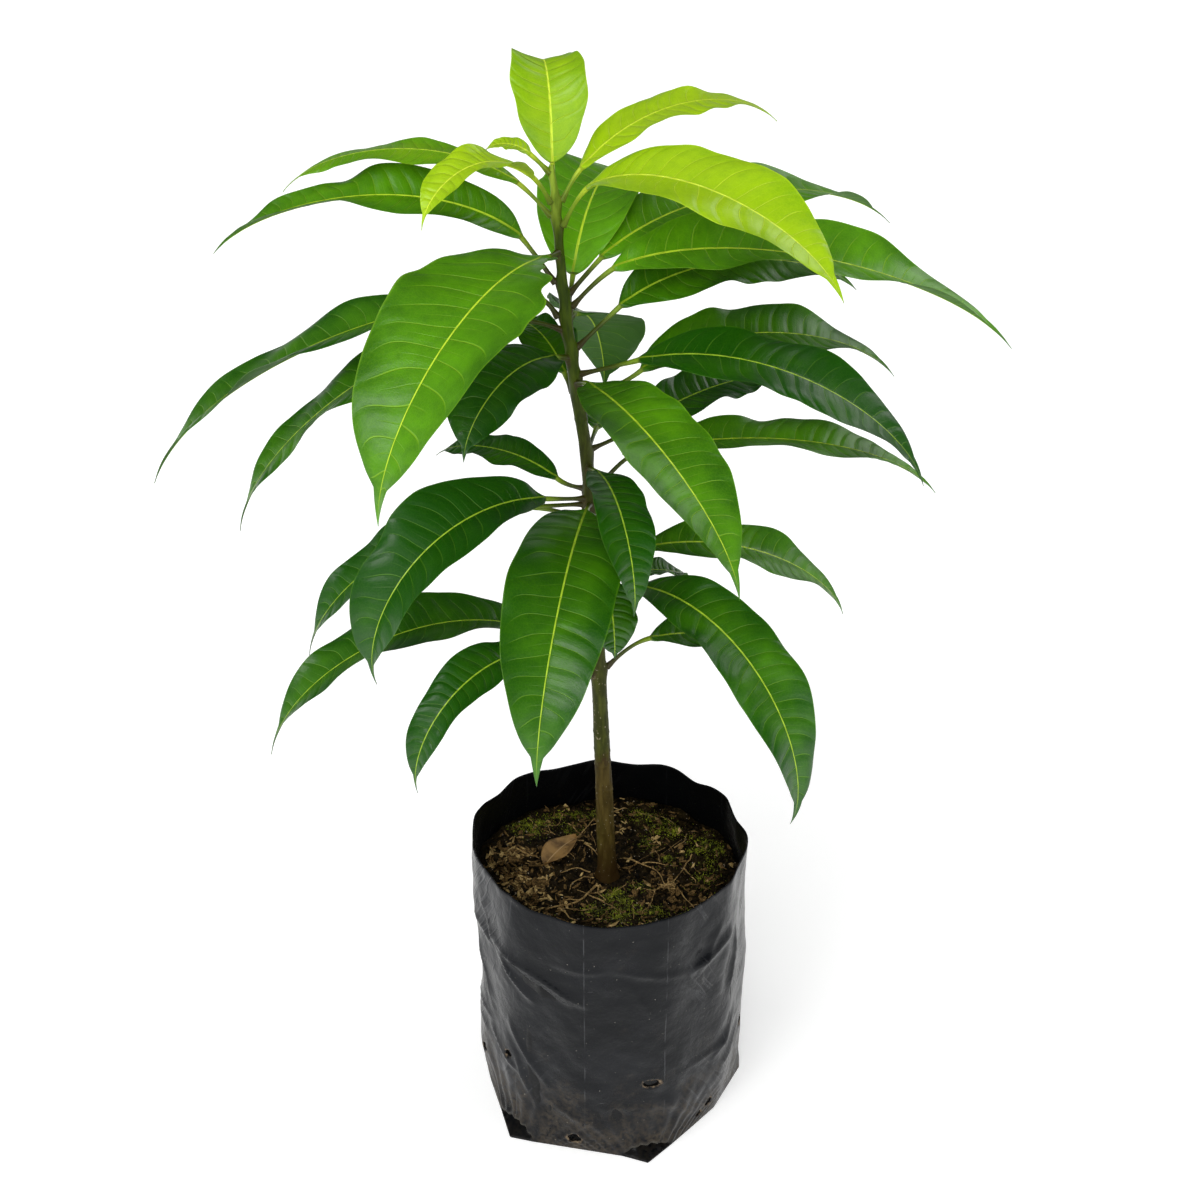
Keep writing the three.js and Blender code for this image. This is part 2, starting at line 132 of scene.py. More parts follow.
def ear_share(azimuth):
    """0 away from the ears, and up to 1 at the point of one, straight on either side of it."""
    share = np.zeros(np.shape(azimuth))
    for start, end, point, _ in EARS:
        off = off_azimuth(azimuth, point)
        share = np.maximum(share, np.where(off < 0, 1 + off / (point - start), 1 - off / (end - point)))
    return share


def crease_height(share):
    """Height of the crease that ends an ear, lowest at the ear's two ends."""
    return EAR_FILM + (EAR_CREASE - EAR_FILM) * np.minimum(1.6 * share, 1)


def bag_radius(azimuth, height):
    """Distance of the film from the axis: a round belly, a little flatter between its upright folds, that turns
    into the many-sided foot and leans a little to the left, drawn in at its waist and dented at the mouth.
    Below its crease an ear slopes out to its point."""
    azimuth, height = np.broadcast_arrays(np.asarray(azimuth, float), np.asarray(height, float))
    flat = cosine((azimuth - FIRST_FOLD) * FOLDS / 2) ** 2
    belly = (BAG_RADIUS + BAG_BULGE) * (1 - BAG_FLATTENING * (1 - np.cos(np.pi / FOLDS)) * (1 - flat))
    belly = belly + BAG_LEAN * cosine(azimuth) * (1 - 2 * height / BAG_HEIGHT)
    drawn_in = WAIST_DEPTH * hump(height - WAIST_LEVEL, WAIST_HALF_HEIGHT)
    belly = belly - hump(off_azimuth(azimuth, WAIST_AZIMUTH), WAIST_HALF_WIDTH) * drawn_in
    low = np.clip(1 - height / FOOT_HEIGHT, 0, 1) ** FOOT_BLEND
    fade = np.maximum(1 - (BAG_HEIGHT - height) / DENT_HEIGHT, 0)
    dent = DENT_DEPTH * hump(off_azimuth(azimuth, DENT_AZIMUTH), DENT_HALF_WIDTH) * fade
    radius = belly + (straight_between(azimuth, FOOT_CORNERS) - belly) * low - dent
    points = sorted([*FOOT_CORNERS, *((point, reach) for _, _, point, reach in EARS)])
    share = ear_share(azimuth)
    crease = crease_height(share)
    slope = np.clip((height - EAR_FILM) / np.maximum(crease - EAR_FILM, 0.01), 0, 1)
    tucked = radius - EAR_TUCK * np.minimum(3 * share, 1)
    ear = straight_between(azimuth, points) * (1 - slope) + tucked * slope
    lip = EAR_LIP * np.minimum(2 * share, 1) * hump(height - crease - LIP_ABOVE, LIP_HALF)
    return np.where((share > 0) & (height < crease), np.maximum(ear, tucked), radius + lip)


def lumps(u, v, seed, around=64):
    """Smooth random heights between -1 and 1: a random number at each whole (u, v), blended between neighbours
    by a cubic step. It repeats after the given number of cells along u."""
    table = np.random.default_rng(seed).uniform(-1, 1, (64, 64))
    i, j = np.floor(u).astype(int), np.floor(v).astype(int)
    a, b = u - i, v - j
    a, b = a * a * (3 - 2 * a), b * b * (3 - 2 * b)
    corner = lambda p, q: table[(p % around) % 64, q % 64]
    low = corner(i, j) * (1 - a) + corner(i + 1, j) * a
    high = corner(i, j + 1) * (1 - a) + corner(i + 1, j + 1) * a
    return low * (1 - b) + high * b


def film_fold(azimuth, height, fold):
    """A ridge along a straight line on the film: its height falls off with the distance from the line as a
    sharp crease does, and it fades in and out along its length."""
    start, low, end, high, rise, half_width = fold
    run, climb = off_azimuth(end, start) * ARC, high - low
    length = np.hypot(run, climb)
    x, y = off_azimuth(azimuth, start) * ARC, height - low
    along = (x * run + y * climb) / length**2
    across = (x * climb - y * run) / length
    fade = np.clip(1 - np.abs(2 * along - 1) ** 2.5, 0, 1)
    crest = np.exp(-np.abs(across / half_width) ** FOLD_SHARPNESS)
    hollow = HOLLOW_SHARE * hump(across - HOLLOW_BESIDE * half_width, HOLLOW_HALF * half_width)
    return rise * fade * (crest - hollow)


def hole_reach(azimuth, height):
    """How many half widths away the nearest punched hole is, measured on the film."""
    reach = [
        np.hypot(off_azimuth(azimuth, turn) * ARC / wide, (height - level) / tall)
        for turn, level, wide, tall in PUNCHED_HOLES
    ]
    return np.minimum(np.min(reach, 0), 6)


rng = np.random.default_rng(11)
BACK_FOLD_COUNT, BACK_FOLD_HALF_WIDTH = 34, 2.5  # the folds round the back lie at random
BACK_FOLDS = [
    (a, h, a + rng.choice((-1, 1)) * rng.uniform(10, 26), h - rng.uniform(4, 34), rng.uniform(0.8, 1.8),
     BACK_FOLD_HALF_WIDTH)
    for a, h in zip(rng.uniform(-4, 196, BACK_FOLD_COUNT), rng.uniform(30, 150, BACK_FOLD_COUNT))
]


def film_relief(azimuth, height):
    """What the film adds to the plain drum: its folds, wide soft swells, crumples over the soil's lumps,
    puckers that fan up from each ear, and a wave that grows in the free film above the soil."""
    turn = (azimuth - FIRST_FOLD) / 360
    relief = FOLD_PRESS * sum(film_fold(azimuth, height, fold) for fold in (*FILM_FOLDS, *BACK_FOLDS))
    for seed, (cells, tall, slant, rise) in enumerate(SWELLS, 1):
        relief = relief + rise * lumps(turn * cells + height * slant, height / tall, seed, cells)
    low = np.clip(1 - height / PUCKER_TOP, 0, 1)
    for _, _, point, _ in EARS:
        spread = off_azimuth(azimuth, point)
        fan = hump(spread, PUCKER_HALF_WIDTH) * low**0.7
        relief = relief + PUCKER_RISE * fan * np.sin(spread * 0.62 / (0.35 + height / PUCKER_TOP))
    free = np.clip((height - SOIL_LEVEL) / (BAG_HEIGHT - SOIL_LEVEL), 0, 1)
    relief = relief + MOUTH_WAVE * free * lumps(turn * 20 + 3, height / 60, 4, 20)
    reach = hole_reach(azimuth, height)
    relief = relief - HOLE_DEPTH * np.exp(-(reach**4)) + HOLE_RIM * hump(reach - 1.35, 0.4)
    return relief * np.clip(height / 6, 0, 1)


def ring_points(azimuth, radius, height):
    """Points of level rings, from their azimuths in degrees, distances from the axis and heights."""
    angle = np.radians(azimuth)
    azimuth, radius, height = np.broadcast_arrays(azimuth, radius, height)
    return np.stack([radius * np.cos(angle), radius * np.sin(angle), height], -1)


def closed_skin(rings):
    """A closed surface over rings[i, j], point j of ring i: four-sided faces between neighbouring rings, and at
    each end a fan round the middle of the last ring."""
    count, around, _ = rings.shape
    points = np.vstack([rings.reshape(-1, 3), rings[0].mean(0), rings[-1].mean(0)])
    i, j = np.meshgrid(np.arange(count - 1), np.arange(around), indexing="ij")
    k = (j + 1) % around
    quads = np.stack([i * around + j, i * around + k, (i + 1) * around + k, (i + 1) * around + j], -1)
    first, last = count * around, (count - 1) * around
    j, k = j[0], k[0]
    fans = np.vstack([
        np.stack([np.full(around, first), k, j], -1),
        np.stack([np.full(around, first + 1), last + j, last + k], -1),
    ])
    return points, quads.reshape(-1, 4), fans


def with_ends(field):
    """A field given on rings[i, j], with its means on the first and last ring added for the two end points."""
    flat = field.reshape(-1, *field.shape[2:])
    return np.concatenate([flat, [field[0].mean(0)], [field[-1].mean(0)]])


def make_piece(name, skins, material, slot, node=None, smooth=True, edge=None, **fields):
    """One object from closed skins in millimetres. It rides on the plant's body, takes the given finish and
    stands for a CAD node if one is named. The slot is not used. Edges between points that are marked as edge
    points stay sharp. Each field gives a number or a vector for every point."""
    starts = np.cumsum([0] + [len(skin[0]) for skin in skins])
    points = np.vstack([skin[0] for skin in skins]) * MM
    quads = np.vstack([skin[1] + at for skin, at in zip(skins, starts)])
    fans = np.vstack([skin[2] + at for skin, at in zip(skins, starts)])
    corners = np.concatenate([quads.ravel(), fans.ravel()])
    first_corners = np.concatenate([np.arange(len(quads)) * 4, quads.size + np.arange(len(fans)) * 3])
    mesh = bpy.data.meshes.new(name)
    mesh.vertices.add(len(points))
    mesh.vertices.foreach_set("co", points.ravel())
    mesh.loops.add(len(corners))
    mesh.loops.foreach_set("vertex_index", corners.astype(np.int32))
    mesh.polygons.add(len(first_corners))
    mesh.polygons.foreach_set("loop_start", first_corners.astype(np.int32))
    mesh.polygons.foreach_set("use_smooth", np.full(len(first_corners), smooth))
    for key, values in fields.items():
        vector = values.ndim == 2
        field = mesh.attributes.new(key, "FLOAT_VECTOR" if vector else "FLOAT", "POINT")
        field.data.foreach_set("vector" if vector else "value", values.astype(np.float32).ravel())
    mesh.update(calc_edges=True)
    if edge is not None:
        ends = np.empty(len(mesh.edges) * 2, np.int32)
        mesh.edges.foreach_get("vertices", ends)
        sharp = mesh.attributes.new("sharp_edge", "BOOLEAN", "EDGE")
        sharp.data.foreach_set("value", edge[ends].reshape(-1, 2).all(1))
    mesh.materials.append(material)
    piece = bpy.data.objects.new(name, mesh)
    bpy.context.scene.collection.objects.link(piece)
    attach(piece, "root")
    if node:
        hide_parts(node)


def add_node(tree, kind, inputs=(), **settings):
    """One shader node with its settings. Each input, by name or number, gets a plain value or a socket."""
    made = tree.nodes.new("ShaderNode" + kind)
    for key, value in settings.items():
        setattr(made, key, value)
    for key, value in dict(inputs).items():
        value = getattr(value, "socket", value)
        if isinstance(value, bpy.types.NodeSocket):
            tree.links.new(value, made.inputs[key])
        else:
            made.inputs[key].default_value = value
    return made


class Value:
    """A number, colour or vector that a shader works out at every point. Arithmetic on it adds nodes."""

    def __init__(self, tree, socket):
        self.tree, self.socket = tree, socket

    def math(self, operation, b=0.0, c=0.0):
        """The result of one arithmetic node."""
        node = add_node(self.tree, "Math", {0: self, 1: b, 2: c}, operation=operation)
        return Value(self.tree, node.outputs[0])

    def __add__(self, other):
        return self.math("ADD", other)

    def __sub__(self, other):
        return self.math("SUBTRACT", other)

    def __mul__(self, other):
        return self.math("MULTIPLY", other)

    def __abs__(self):
        return self.math("ABSOLUTE")

    def step(self, low, high):
        """0 below the low value and 1 above the high one, with a smooth climb between them. With low above high
        it falls instead."""
        limits = {"Value": self, "From Min": low, "From Max": high}
        node = add_node(self.tree, "MapRange", limits, interpolation_type="SMOOTHSTEP")
        return Value(self.tree, node.outputs[0])

    def parts(self):
        """The three numbers of a vector."""
        return [Value(self.tree, part) for part in add_node(self.tree, "SeparateXYZ", {0: self}).outputs]


def tint(share, first, second):
    """The first colour at share 0, the second at share 1, and a mixture between them."""
    first, second = [(*c, 1.0) if isinstance(c, tuple) else c for c in (first, second)]
    node = add_node(share.tree, "Mix", {0: share, 6: first, 7: second}, data_type="RGBA")
    return Value(share.tree, node.outputs[2])


def layers(colour, *coats):
    """A colour with coats over it, each given as its mask, its strength and its own colour."""
    for mask, strength, coat in coats:
        colour = tint(mask * strength, colour, coat)
    return colour


def mottle(place, scale, detail=3.0, stretch=(1, 1, 1), roughness=0.55):
    """Cloudy noise between 0 and 1 at a place, so many cells to the metre."""
    spread = add_node(place.tree, "Mapping", {"Vector": place, "Scale": stretch})
    wanted = {"Vector": spread.outputs[0], "Scale": scale, "Detail": detail, "Roughness": roughness}
    return Value(place.tree, add_node(place.tree, "TexNoise", wanted).outputs[0])


def field_of(place, name, output="Fac"):
    """A field of the mesh, by its name."""
    return Value(place.tree, add_node(place.tree, "Attribute", attribute_name=name).outputs[output])


def new_material(name):
    """An empty material, and the piece's own coordinates in it."""
    material = bpy.data.materials.new(name)
    material.use_nodes = True
    tree = material.node_tree
    return material, Value(tree, tree.nodes.new("ShaderNodeTexCoord").outputs["Object"])


def finish(material, colour, roughness, relief, depth, **constants):
    """Feeds a colour, a roughness and a relief, whose whole depth is given in millimetres, to the surface, and
    sets what is the same all over it."""
    tree = material.node_tree
    bump = add_node(tree, "Bump", {"Height": relief, "Distance": depth * MM, "Strength": 1.0})
    inputs = tree.nodes["Principled BSDF"].inputs
    tree.links.new(colour.socket, inputs["Base Color"])
    tree.links.new(roughness.socket, inputs["Roughness"])
    tree.links.new(bump.outputs[0], inputs["Normal"])
    for name, value in constants.items():
        inputs[name.replace("_", " ")].default_value = value
    return material


# The last colour on the next line is painted shade, laid over the film's inner face and its ears.
FILM_DARK, FILM_WORN, PAINTED_SHADE = (0.0016, 0.0021, 0.0031), (0.0058, 0.0065, 0.0082), (0.0012, 0.0013, 0.0014)
# The last colour on the next line is a painted highlight, for the pale line over each ear's crease.
FOLD_HAZE, STRETCHED, CREASE_HIGHLIGHT = (0.11, 0.115, 0.12), (0.05, 0.052, 0.055), (0.12, 0.115, 0.10)
SCRATCHED, SPECKLED, DUSTY = (0.16, 0.16, 0.165), (0.34, 0.32, 0.27), (0.082, 0.064, 0.043)
# The last colour on the next line is painted shade, laid in the core of each punched hole.
FRAYED, PAINTED_HOLE_SHADE = (0.25, 0.18, 0.11), (0.001, 0.0008, 0.0006)
PULL_SLOPE = 0.7  # rise of the stress wrinkles, which slant up from the front to either side


def film_material():
    """Black film: blue-black with a soft gloss, hazy lines along its old folds, slanting stress wrinkles, pale
    scratches and specks, brown dust that thickens towards the ground, and torn fibre round the holes."""
    material, place = new_material("black_film")
    x, y, height = place.parts()
    turn = y.math("ARCTAN2", x).math("DIVIDE", 2 * np.pi)
    cloud, grain, crumple = mottle(place, 24, 5), mottle(place, 420, 4), mottle(place, 95, 5)
    from_fold = ((turn - FIRST_FOLD / 360) * FOLDS + 20.0).math("PINGPONG", 0.5)
    fold_line = from_fold.step(0.0105, 0.002) * mottle(place, 60, 3).step(0.42, 0.62)
    scratch = mottle(place, 260, 2, (0.25, 0.25, 2.4)).step(0.72, 0.78) * mottle(place, 26, 2).step(0.52, 0.66)
    specks = mottle(place, 700, 2).step(0.74, 0.78)
    from_front = abs(turn + 0.25) * (2 * np.pi * BAG_RADIUS * MM)
    run, rise = height * PULL_SLOPE + from_front, from_front * -PULL_SLOPE + height
    slant = Value(place.tree, add_node(place.tree, "CombineXYZ", {0: run, 1: rise * 0.14}).outputs[0])
    pulled = abs(mottle(slant, 80, 2) - 0.5).step(0.05, 0.0) * mottle(place, 20, 2).step(0.46, 0.64)
    pulled = pulled * from_front.step(0.022, 0.055)
    # A field that is 1 on the film's inner face and 0.6 on the ears paints shade there, and it thins the dust.
    clean, crease, hole = field_of(place, "clean"), field_of(place, "crease"), field_of(place, "hole_reach")
    dust = (height.step(0.085, -0.01) * 0.42 + mottle(place, 62, 6)).step(0.62, 1.0)
    dust = dust * (clean * -0.45 + 0.45) * grain.step(0.3, 0.65)
    torn = hole + (mottle(place, 500, 3) * 0.5 - 0.25)
    # Each hole's core is painted near black: painted shade for the dark inside of the bag seen through it.
    fray, hole_shade = torn.step(1.8, 1.25) * grain.step(0.38, 0.66), torn.step(1.28, 1.12)
    colour = layers(
        tint(cloud.step(0.35, 0.7), FILM_DARK, FILM_WORN),
        (fold_line, 0.3, FOLD_HAZE), (scratch, 0.5, SCRATCHED), (specks, 0.7, SPECKLED),
        (pulled, 0.35, STRETCHED), (dust, 1.0, DUSTY), (clean, 0.85, PAINTED_SHADE), (crease, 0.5, CREASE_HIGHLIGHT),
        (fray, 0.6, FRAYED), (hole_shade, 1.0, PAINTED_HOLE_SHADE),
    )
    roughness = (dust * 0.6 + (cloud * 0.22 + 0.16)).math("MAXIMUM", hole_shade)
    relief = pulled * 0.4 + (grain * 0.1 + crumple)
    return finish(material, colour, roughness, relief, 0.8, Specular_IOR_Level=0.2, Sheen_Weight=0.07,
                  Sheen_Roughness=0.25, Sheen_Tint=(1.0, 0.96, 0.88, 1.0))


def film_reach(azimuth, height):
    """Distance of the finished film from the axis."""
    return bag_radius(azimuth, height) + film_relief(azimuth, height)


def up_to_mouth(height, mouth):
    """Heights on the free film, drawn out or in so that the film ends at its wavy mouth."""
    free = (mouth - SOIL_LEVEL) / (BAG_HEIGHT - SOIL_LEVEL)
    return np.where(height > SOIL_LEVEL, SOIL_LEVEL + (height - SOIL_LEVEL) * free, height)


azimuths = FIRST_FOLD + 360 * np.arange(BAG_AROUND) / BAG_AROUND
mouth = MOUTH_PEAKS * cosine((azimuths - FIRST_FOLD) * FOLDS) + MOUTH_SWAY * sine(2 * azimuths + 40)
mouth = BAG_HEIGHT + mouth + MOUTH_WAVER * lumps((azimuths - FIRST_FOLD) / 9, 0 * azimuths, 5, 40)
under = np.array([0.02, 0.25, 0.5, 0.75, 0.9, 0.97])[:, None]  # rings of the underside, as shares of its radius
near_mouth, seen_inside = BAG_HEIGHT - 2, 124  # the film's inner face has close rings down to here
climb = np.concatenate([np.linspace(0, 9.6, 25), np.linspace(11, near_mouth, 106)])[:, None]
brim = film_reach(azimuths, BAG_HEIGHT)[None, :]
fall = np.linspace(near_mouth, seen_inside, 34)[:, None]
deep = np.array([100, 60, 20, 6])[:, None]
foot = bag_radius(azimuths, 0.0)
film_rings = np.concatenate([
    ring_points(azimuths, under * foot, 0.0 * under),
    ring_points(azimuths, film_reach(azimuths, climb), up_to_mouth(climb, mouth)),
    ring_points(azimuths, brim, mouth[None, :]),
    ring_points(azimuths, brim - FILM / 2, mouth[None, :] + 0.25),
    ring_points(azimuths, brim - FILM, mouth[None, :]),
    ring_points(azimuths, film_reach(azimuths, fall) - FILM, up_to_mouth(fall, mouth)),
    ring_points(azimuths, film_reach(azimuths, deep) - FILM - 0.3, deep),
    ring_points(azimuths, np.array([0.9, 0.4])[:, None] * foot, np.array([BAG_FLOOR, BAG_FLOOR])[:, None]),
])
film_heights = film_rings[..., 2]
reach = hole_reach(azimuths, film_heights) + 6 * (np.arange(len(film_rings)) < len(under))[:, None]
within = (np.arange(len(film_rings)) > len(under) + len(climb) + 1)[:, None]
share = ear_share(azimuths)
from_crease = film_heights - crease_height(share)
on_ear = (share > 0) & (from_crease < 0)
# Painted highlight: a pale band just above each ear's crease, where the swell over it would catch the light.
crease = np.minimum(2 * share, 1) * hump(from_crease - 1.2, 0.9)
# The film's inner face and its ears are marked for painted shade and for less dust.
make_piece("bag_film", [closed_skin(film_rings)], film_material(), "bag", "nursery_bag",
           hole_reach=with_ends(reach), clean=with_ends(np.maximum(within * 1.0, on_ear * 0.6)),
           crease=with_ends(crease))

# ---- The potting soil ----
# Damp black compost and loam that fills the bag to about three centimetres below its mouth. Watering has
# washed its top into lumps and hollows, and it dips where it meets the film.

SOIL_AROUND, SOIL_RINGS = 420, 110
SOIL_FLAT, SOIL_HEAPED = 15, 40  # level this far round the stem, and fully heaped this much further out
SOIL_RISE, LOBE_RISE = 1.2, 1.25  # of the heaped part as a whole, and of its lobes
RIM_START, RIM_WIDTH, RIM_DIP = 74, 8, 2.0  # where the soil dips towards the film
SOIL_BLACK, SOIL_BROWN, SOIL_CLOD, SOIL_GRIT = (
    (0.0018, 0.0013, 0.0007), (0.022, 0.014, 0.0045), (0.044, 0.029, 0.010), (0.16, 0.11, 0.06)
)


def soil_top(x, y):
    """Height of the soil's top: level by the stem, in three lobes and five further out, then lumps of five
    sizes, the smaller the lower, heaped a little where one lump stands on another."""
    radius, azimuth = np.hypot(x, y), np.degrees(np.arctan2(y, x))
    away = np.clip((radius - SOIL_FLAT) / SOIL_HEAPED, 0, 1)
    lobes = sine(3 * azimuth) + sine(5 * azimuth + 70)
    height = SOIL_LEVEL + away * (SOIL_RISE + LOBE_RISE * lobes)
    rough = 0.4 + 0.6 * away
    height = height + rough * 1.5 * lumps(x / 17 + 40, y / 17 + 40, 21) + rough * 1.3 * lumps(x / 8, y / 8, 22)
    clods = np.maximum(lumps(x / 4.5 + 9, y / 4.5 + 9, 23), -0.2)
    height = height + rough * (1.5 * clods + 0.7 * np.abs(lumps(x / 2.2, y / 2.2, 24)))
    height = height + 0.35 * lumps(x / 1.1, y / 1.1, 25)
    return height - RIM_DIP * np.clip((radius - RIM_START) / RIM_WIDTH, 0, 1)


def soil_material():
    """Damp compost: near black, with browner crumbs, a few beige grains and a deep broken relief."""
    material, place = new_material("damp_compost")
    crumbs, clods = mottle(place, 260, 6, roughness=0.7), mottle(place, 70, 4)
    cells = add_node(place.tree, "TexVoronoi", {"Vector": place, "Scale": 380.0}).outputs["Distance"]
    colour = layers(
        tint(crumbs.step(0.42, 0.68), SOIL_BLACK, SOIL_BROWN),
        (clods.step(0.52, 0.72), 0.5, SOIL_CLOD), (mottle(place, 640, 3).step(0.66, 0.72), 0.6, SOIL_GRIT),
    )
    relief = Value(place.tree, cells) * -0.5 + crumbs
    return finish(material, colour, crumbs * 0.4 + 0.6, relief, 1.6, Specular_IOR_Level=0.1)


azimuths = FIRST_FOLD + 360 * np.arange(SOIL_AROUND) / SOIL_AROUND
off_floor, off_side = 4, 4.5  # deep down, where nobody sees it, the soil keeps this far off the film
floor_radius = bag_radius(azimuths, 5.0) - off_floor
sides = np.array([16, 36, 90, 120, 134])[:, None]
shares = np.linspace(1, 0.004, SOIL_RINGS)[:, None]
top = ring_points(azimuths, shares * (film_reach(azimuths, SOIL_LEVEL) - FILM - 0.2), 0.0 * shares)
top[..., 2] = soil_top(top[..., 0], top[..., 1])
soil_rings = np.concatenate([
    ring_points(azimuths, np.array([0.02, 1.0])[:, None] * floor_radius, BAG_FLOOR + 0.3),
    ring_points(azimuths, bag_radius(azimuths, sides) - off_side, sides),
    top,
])
make_piece("potting_soil", [closed_skin(soil_rings)], soil_material(), "soil", "soil")

# ---- Litter on the soil ----
# Bits of bark, husk and dry leaf, small stones and crumbs that lie on the soil as they fell. Each kind is one
# joined mesh of small flakes and grains, pale, brown or dark.

FLAKE_CORNERS = 6
SOIL_REACH = 77.0  # loose bits lie within this radius
STEM_FOOT_X = -1.5


def on_soil(x, y, far, near):
    """True for places within the far distance of the bag's axis and beyond the near distance of the stem."""
    return (np.hypot(x, y) < far) & (np.hypot(x - STEM_FOOT_X, y) > near)


def placed(count, seed, zones=()):
    """Places on the soil: even over the whole disc, or round zones given as (x, y, spread in millimetres)."""
    rng = np.random.default_rng(seed)
    if not zones:
        radius, angle = SOIL_REACH * np.sqrt(rng.uniform(0.01, 1, count)), rng.uniform(0, 2 * np.pi, count)
        x, y = radius * np.cos(angle), radius * np.sin(angle)
    else:
        zone = np.array(zones)[rng.integers(0, len(zones), count)]
        x, y = (zone[:, :2] + zone[:, 2:] * rng.normal(0, 1, (count, 2))).T
    inside = on_soil(x, y, SOIL_REACH + 0.5, 8)
    return x[inside], y[inside], rng


def turned(shapes, rng, lean):
    """Each shape turned at random about the upright axis, after a random lean out of level."""
    count = len(shapes)
    yaw, pitch, roll = rng.uniform(0, 2 * np.pi, count), rng.normal(0, lean, count), rng.normal(0, lean, count)
    axes = list(np.moveaxis(shapes, -1, 0))
    for turn, a, b in ((roll, 1, 2), (pitch, 2, 0), (yaw, 0, 1)):
        c, s = np.cos(turn)[:, None], np.sin(turn)[:, None]
        axes[a], axes[b] = axes[a] * c - axes[b] * s, axes[a] * s + axes[b] * c
    return np.stack(axes, -1)


def scattered(shapes, faces, x, y, lift=0.0):
    """One skin of many small closed shapes, each moved to its place on the soil, or lifted a little off it."""
    count, corners, _ = shapes.shape
    place = np.stack([x, y, soil_top(x, y) + lift], -1)
    points = (shapes + place[:, None, :]).reshape(-1, 3)
    joined = (faces[None] + corners * np.arange(count)[:, None, None]).reshape(-1, 3)
    return points, np.zeros((0, 4), int), joined


def flakes(count, seed, long, wide, thick, lean, zones=()):
    """Flat chips: an uneven six-sided outline, drawn out along x and bowed, with a second one below it."""
    x, y, rng = placed(count, seed, zones)
    count = len(x)
    angle = 2 * np.pi * np.arange(FLAKE_CORNERS) / FLAKE_CORNERS
    size = rng.uniform(0.45, 1.0, (count, 1))
    wobble = rng.uniform(0.65, 1.25, (count, FLAKE_CORNERS))
    u = long * size * wobble * np.cos(angle)
    v = wide * size * rng.uniform(0.5, 1.2, (count, 1)) * wobble * np.sin(angle)
    bow = rng.uniform(-0.25, 0.4, (count, 1)) * u**2 / long
    upper = np.stack([u, v, bow + thick / 2], -1)
    lower = np.stack([0.92 * u, 0.92 * v, bow - thick / 2], -1)
    k = np.arange(FLAKE_CORNERS)
    n, b = (k + 1) % FLAKE_CORNERS, FLAKE_CORNERS
    faces = [(0, i, i + 1) for i in range(1, b - 1)] + [(b, b + i + 1, b + i) for i in range(1, b - 1)]
    faces = np.array(faces + list(zip(k + b, n + b, n)) + list(zip(k + b, n, k)))
    return scattered(turned(np.concatenate([upper, lower], 1), rng, lean), faces, x, y, lift=0.4)


def grains(count, seed, size, zones=()):
    """Small stones and crumbs: uneven eight-faced lumps."""
    x, y, rng = placed(count, seed, zones)
    corners = np.array([(1, 0, 0), (-1, 0, 0), (0, 1, 0), (0, -1, 0), (0, 0, 0.8), (0, 0, -0.8)], float)
    shapes = corners * rng.uniform(0.6, 1.3, (len(x), 6, 1)) * size * rng.uniform(0.4, 1, (len(x), 1, 1)) ** 1.5
    faces = np.array([(0, 2, 4), (2, 1, 4), (1, 3, 4), (3, 0, 4), (2, 0, 5), (1, 2, 5), (3, 1, 5), (0, 3, 5)])
    return scattered(turned(shapes, rng, 1.5), faces, x, y)


def litter_material(name, dark, light):
    """Dry plant scraps: fibrous streaks between a dark and a light tone, rough and a little worn."""
    material, place = new_material(name)
    fibre, patch = mottle(place, 900, 4, (1, 1, 3)), mottle(place, 130, 3)
    worn = tuple(0.35 * c for c in dark)
    colour = tint(patch.step(0.45, 0.75), tint(fibre.step(0.35, 0.65), dark, light), worn)
    return finish(material, colour, patch * 0.3 + 0.6, fibre, 0.25, Specular_IOR_Level=0.15)


# Flakes: how many, their seed, length, width, thickness, lean and places. Grains: how many, seed, size, places.
TWIG_END = ((33, -12, 8), (24, -4, 8), (38, -24, 6))
LEFT_HEAP = ((-64, 6, 7), (-55, -8, 7), (-60, 18, 6), (-46, -20, 8), (-50, 2, 9), (-38, -30, 8))
make_piece("pale_chips", [
    flakes(60, 31, 3.6, 1.5, 0.45, 0.35), flakes(110, 32, 3.4, 1.5, 0.45, 0.4, LEFT_HEAP),
    flakes(14, 33, 2.6, 1.6, 0.6, 0.5, ((28, 35, 3), (30, 33, 2), (10, 58, 5), (6, 44, 4))),
], litter_material("pale_husk", (0.20, 0.125, 0.04), (0.52, 0.37, 0.16)), "soil", smooth=False)
make_piece("brown_chips", [
    flakes(360, 34, 3.8, 1.4, 0.5, 0.45), flakes(170, 35, 3.8, 1.7, 0.5, 0.5, LEFT_HEAP),
    flakes(90, 36, 4.6, 0.7, 0.5, 0.35), flakes(60, 37, 3.4, 2.0, 0.5, 0.5, TWIG_END),
], litter_material("brown_bark_bits", (0.028, 0.016, 0.005), (0.18, 0.108, 0.038)), "soil", smooth=False)
make_piece("dark_crumbs", [grains(2300, 38, 1.5), grains(500, 39, 2.4)],
           litter_material("dark_crumb", (0.004, 0.0028, 0.0015), (0.024, 0.015, 0.006)), "soil", smooth=False)
make_piece("pale_grains", [grains(420, 40, 0.8), grains(120, 41, 0.9, LEFT_HEAP)],
           litter_material("pale_grain", (0.16, 0.12, 0.075), (0.4, 0.33, 0.24)), "soil", smooth=False)

# ---- Moss ----
# Low cushions of living moss on the shaded, damp parts of the soil: short upright shoots, closest in the middle
# of each cushion.

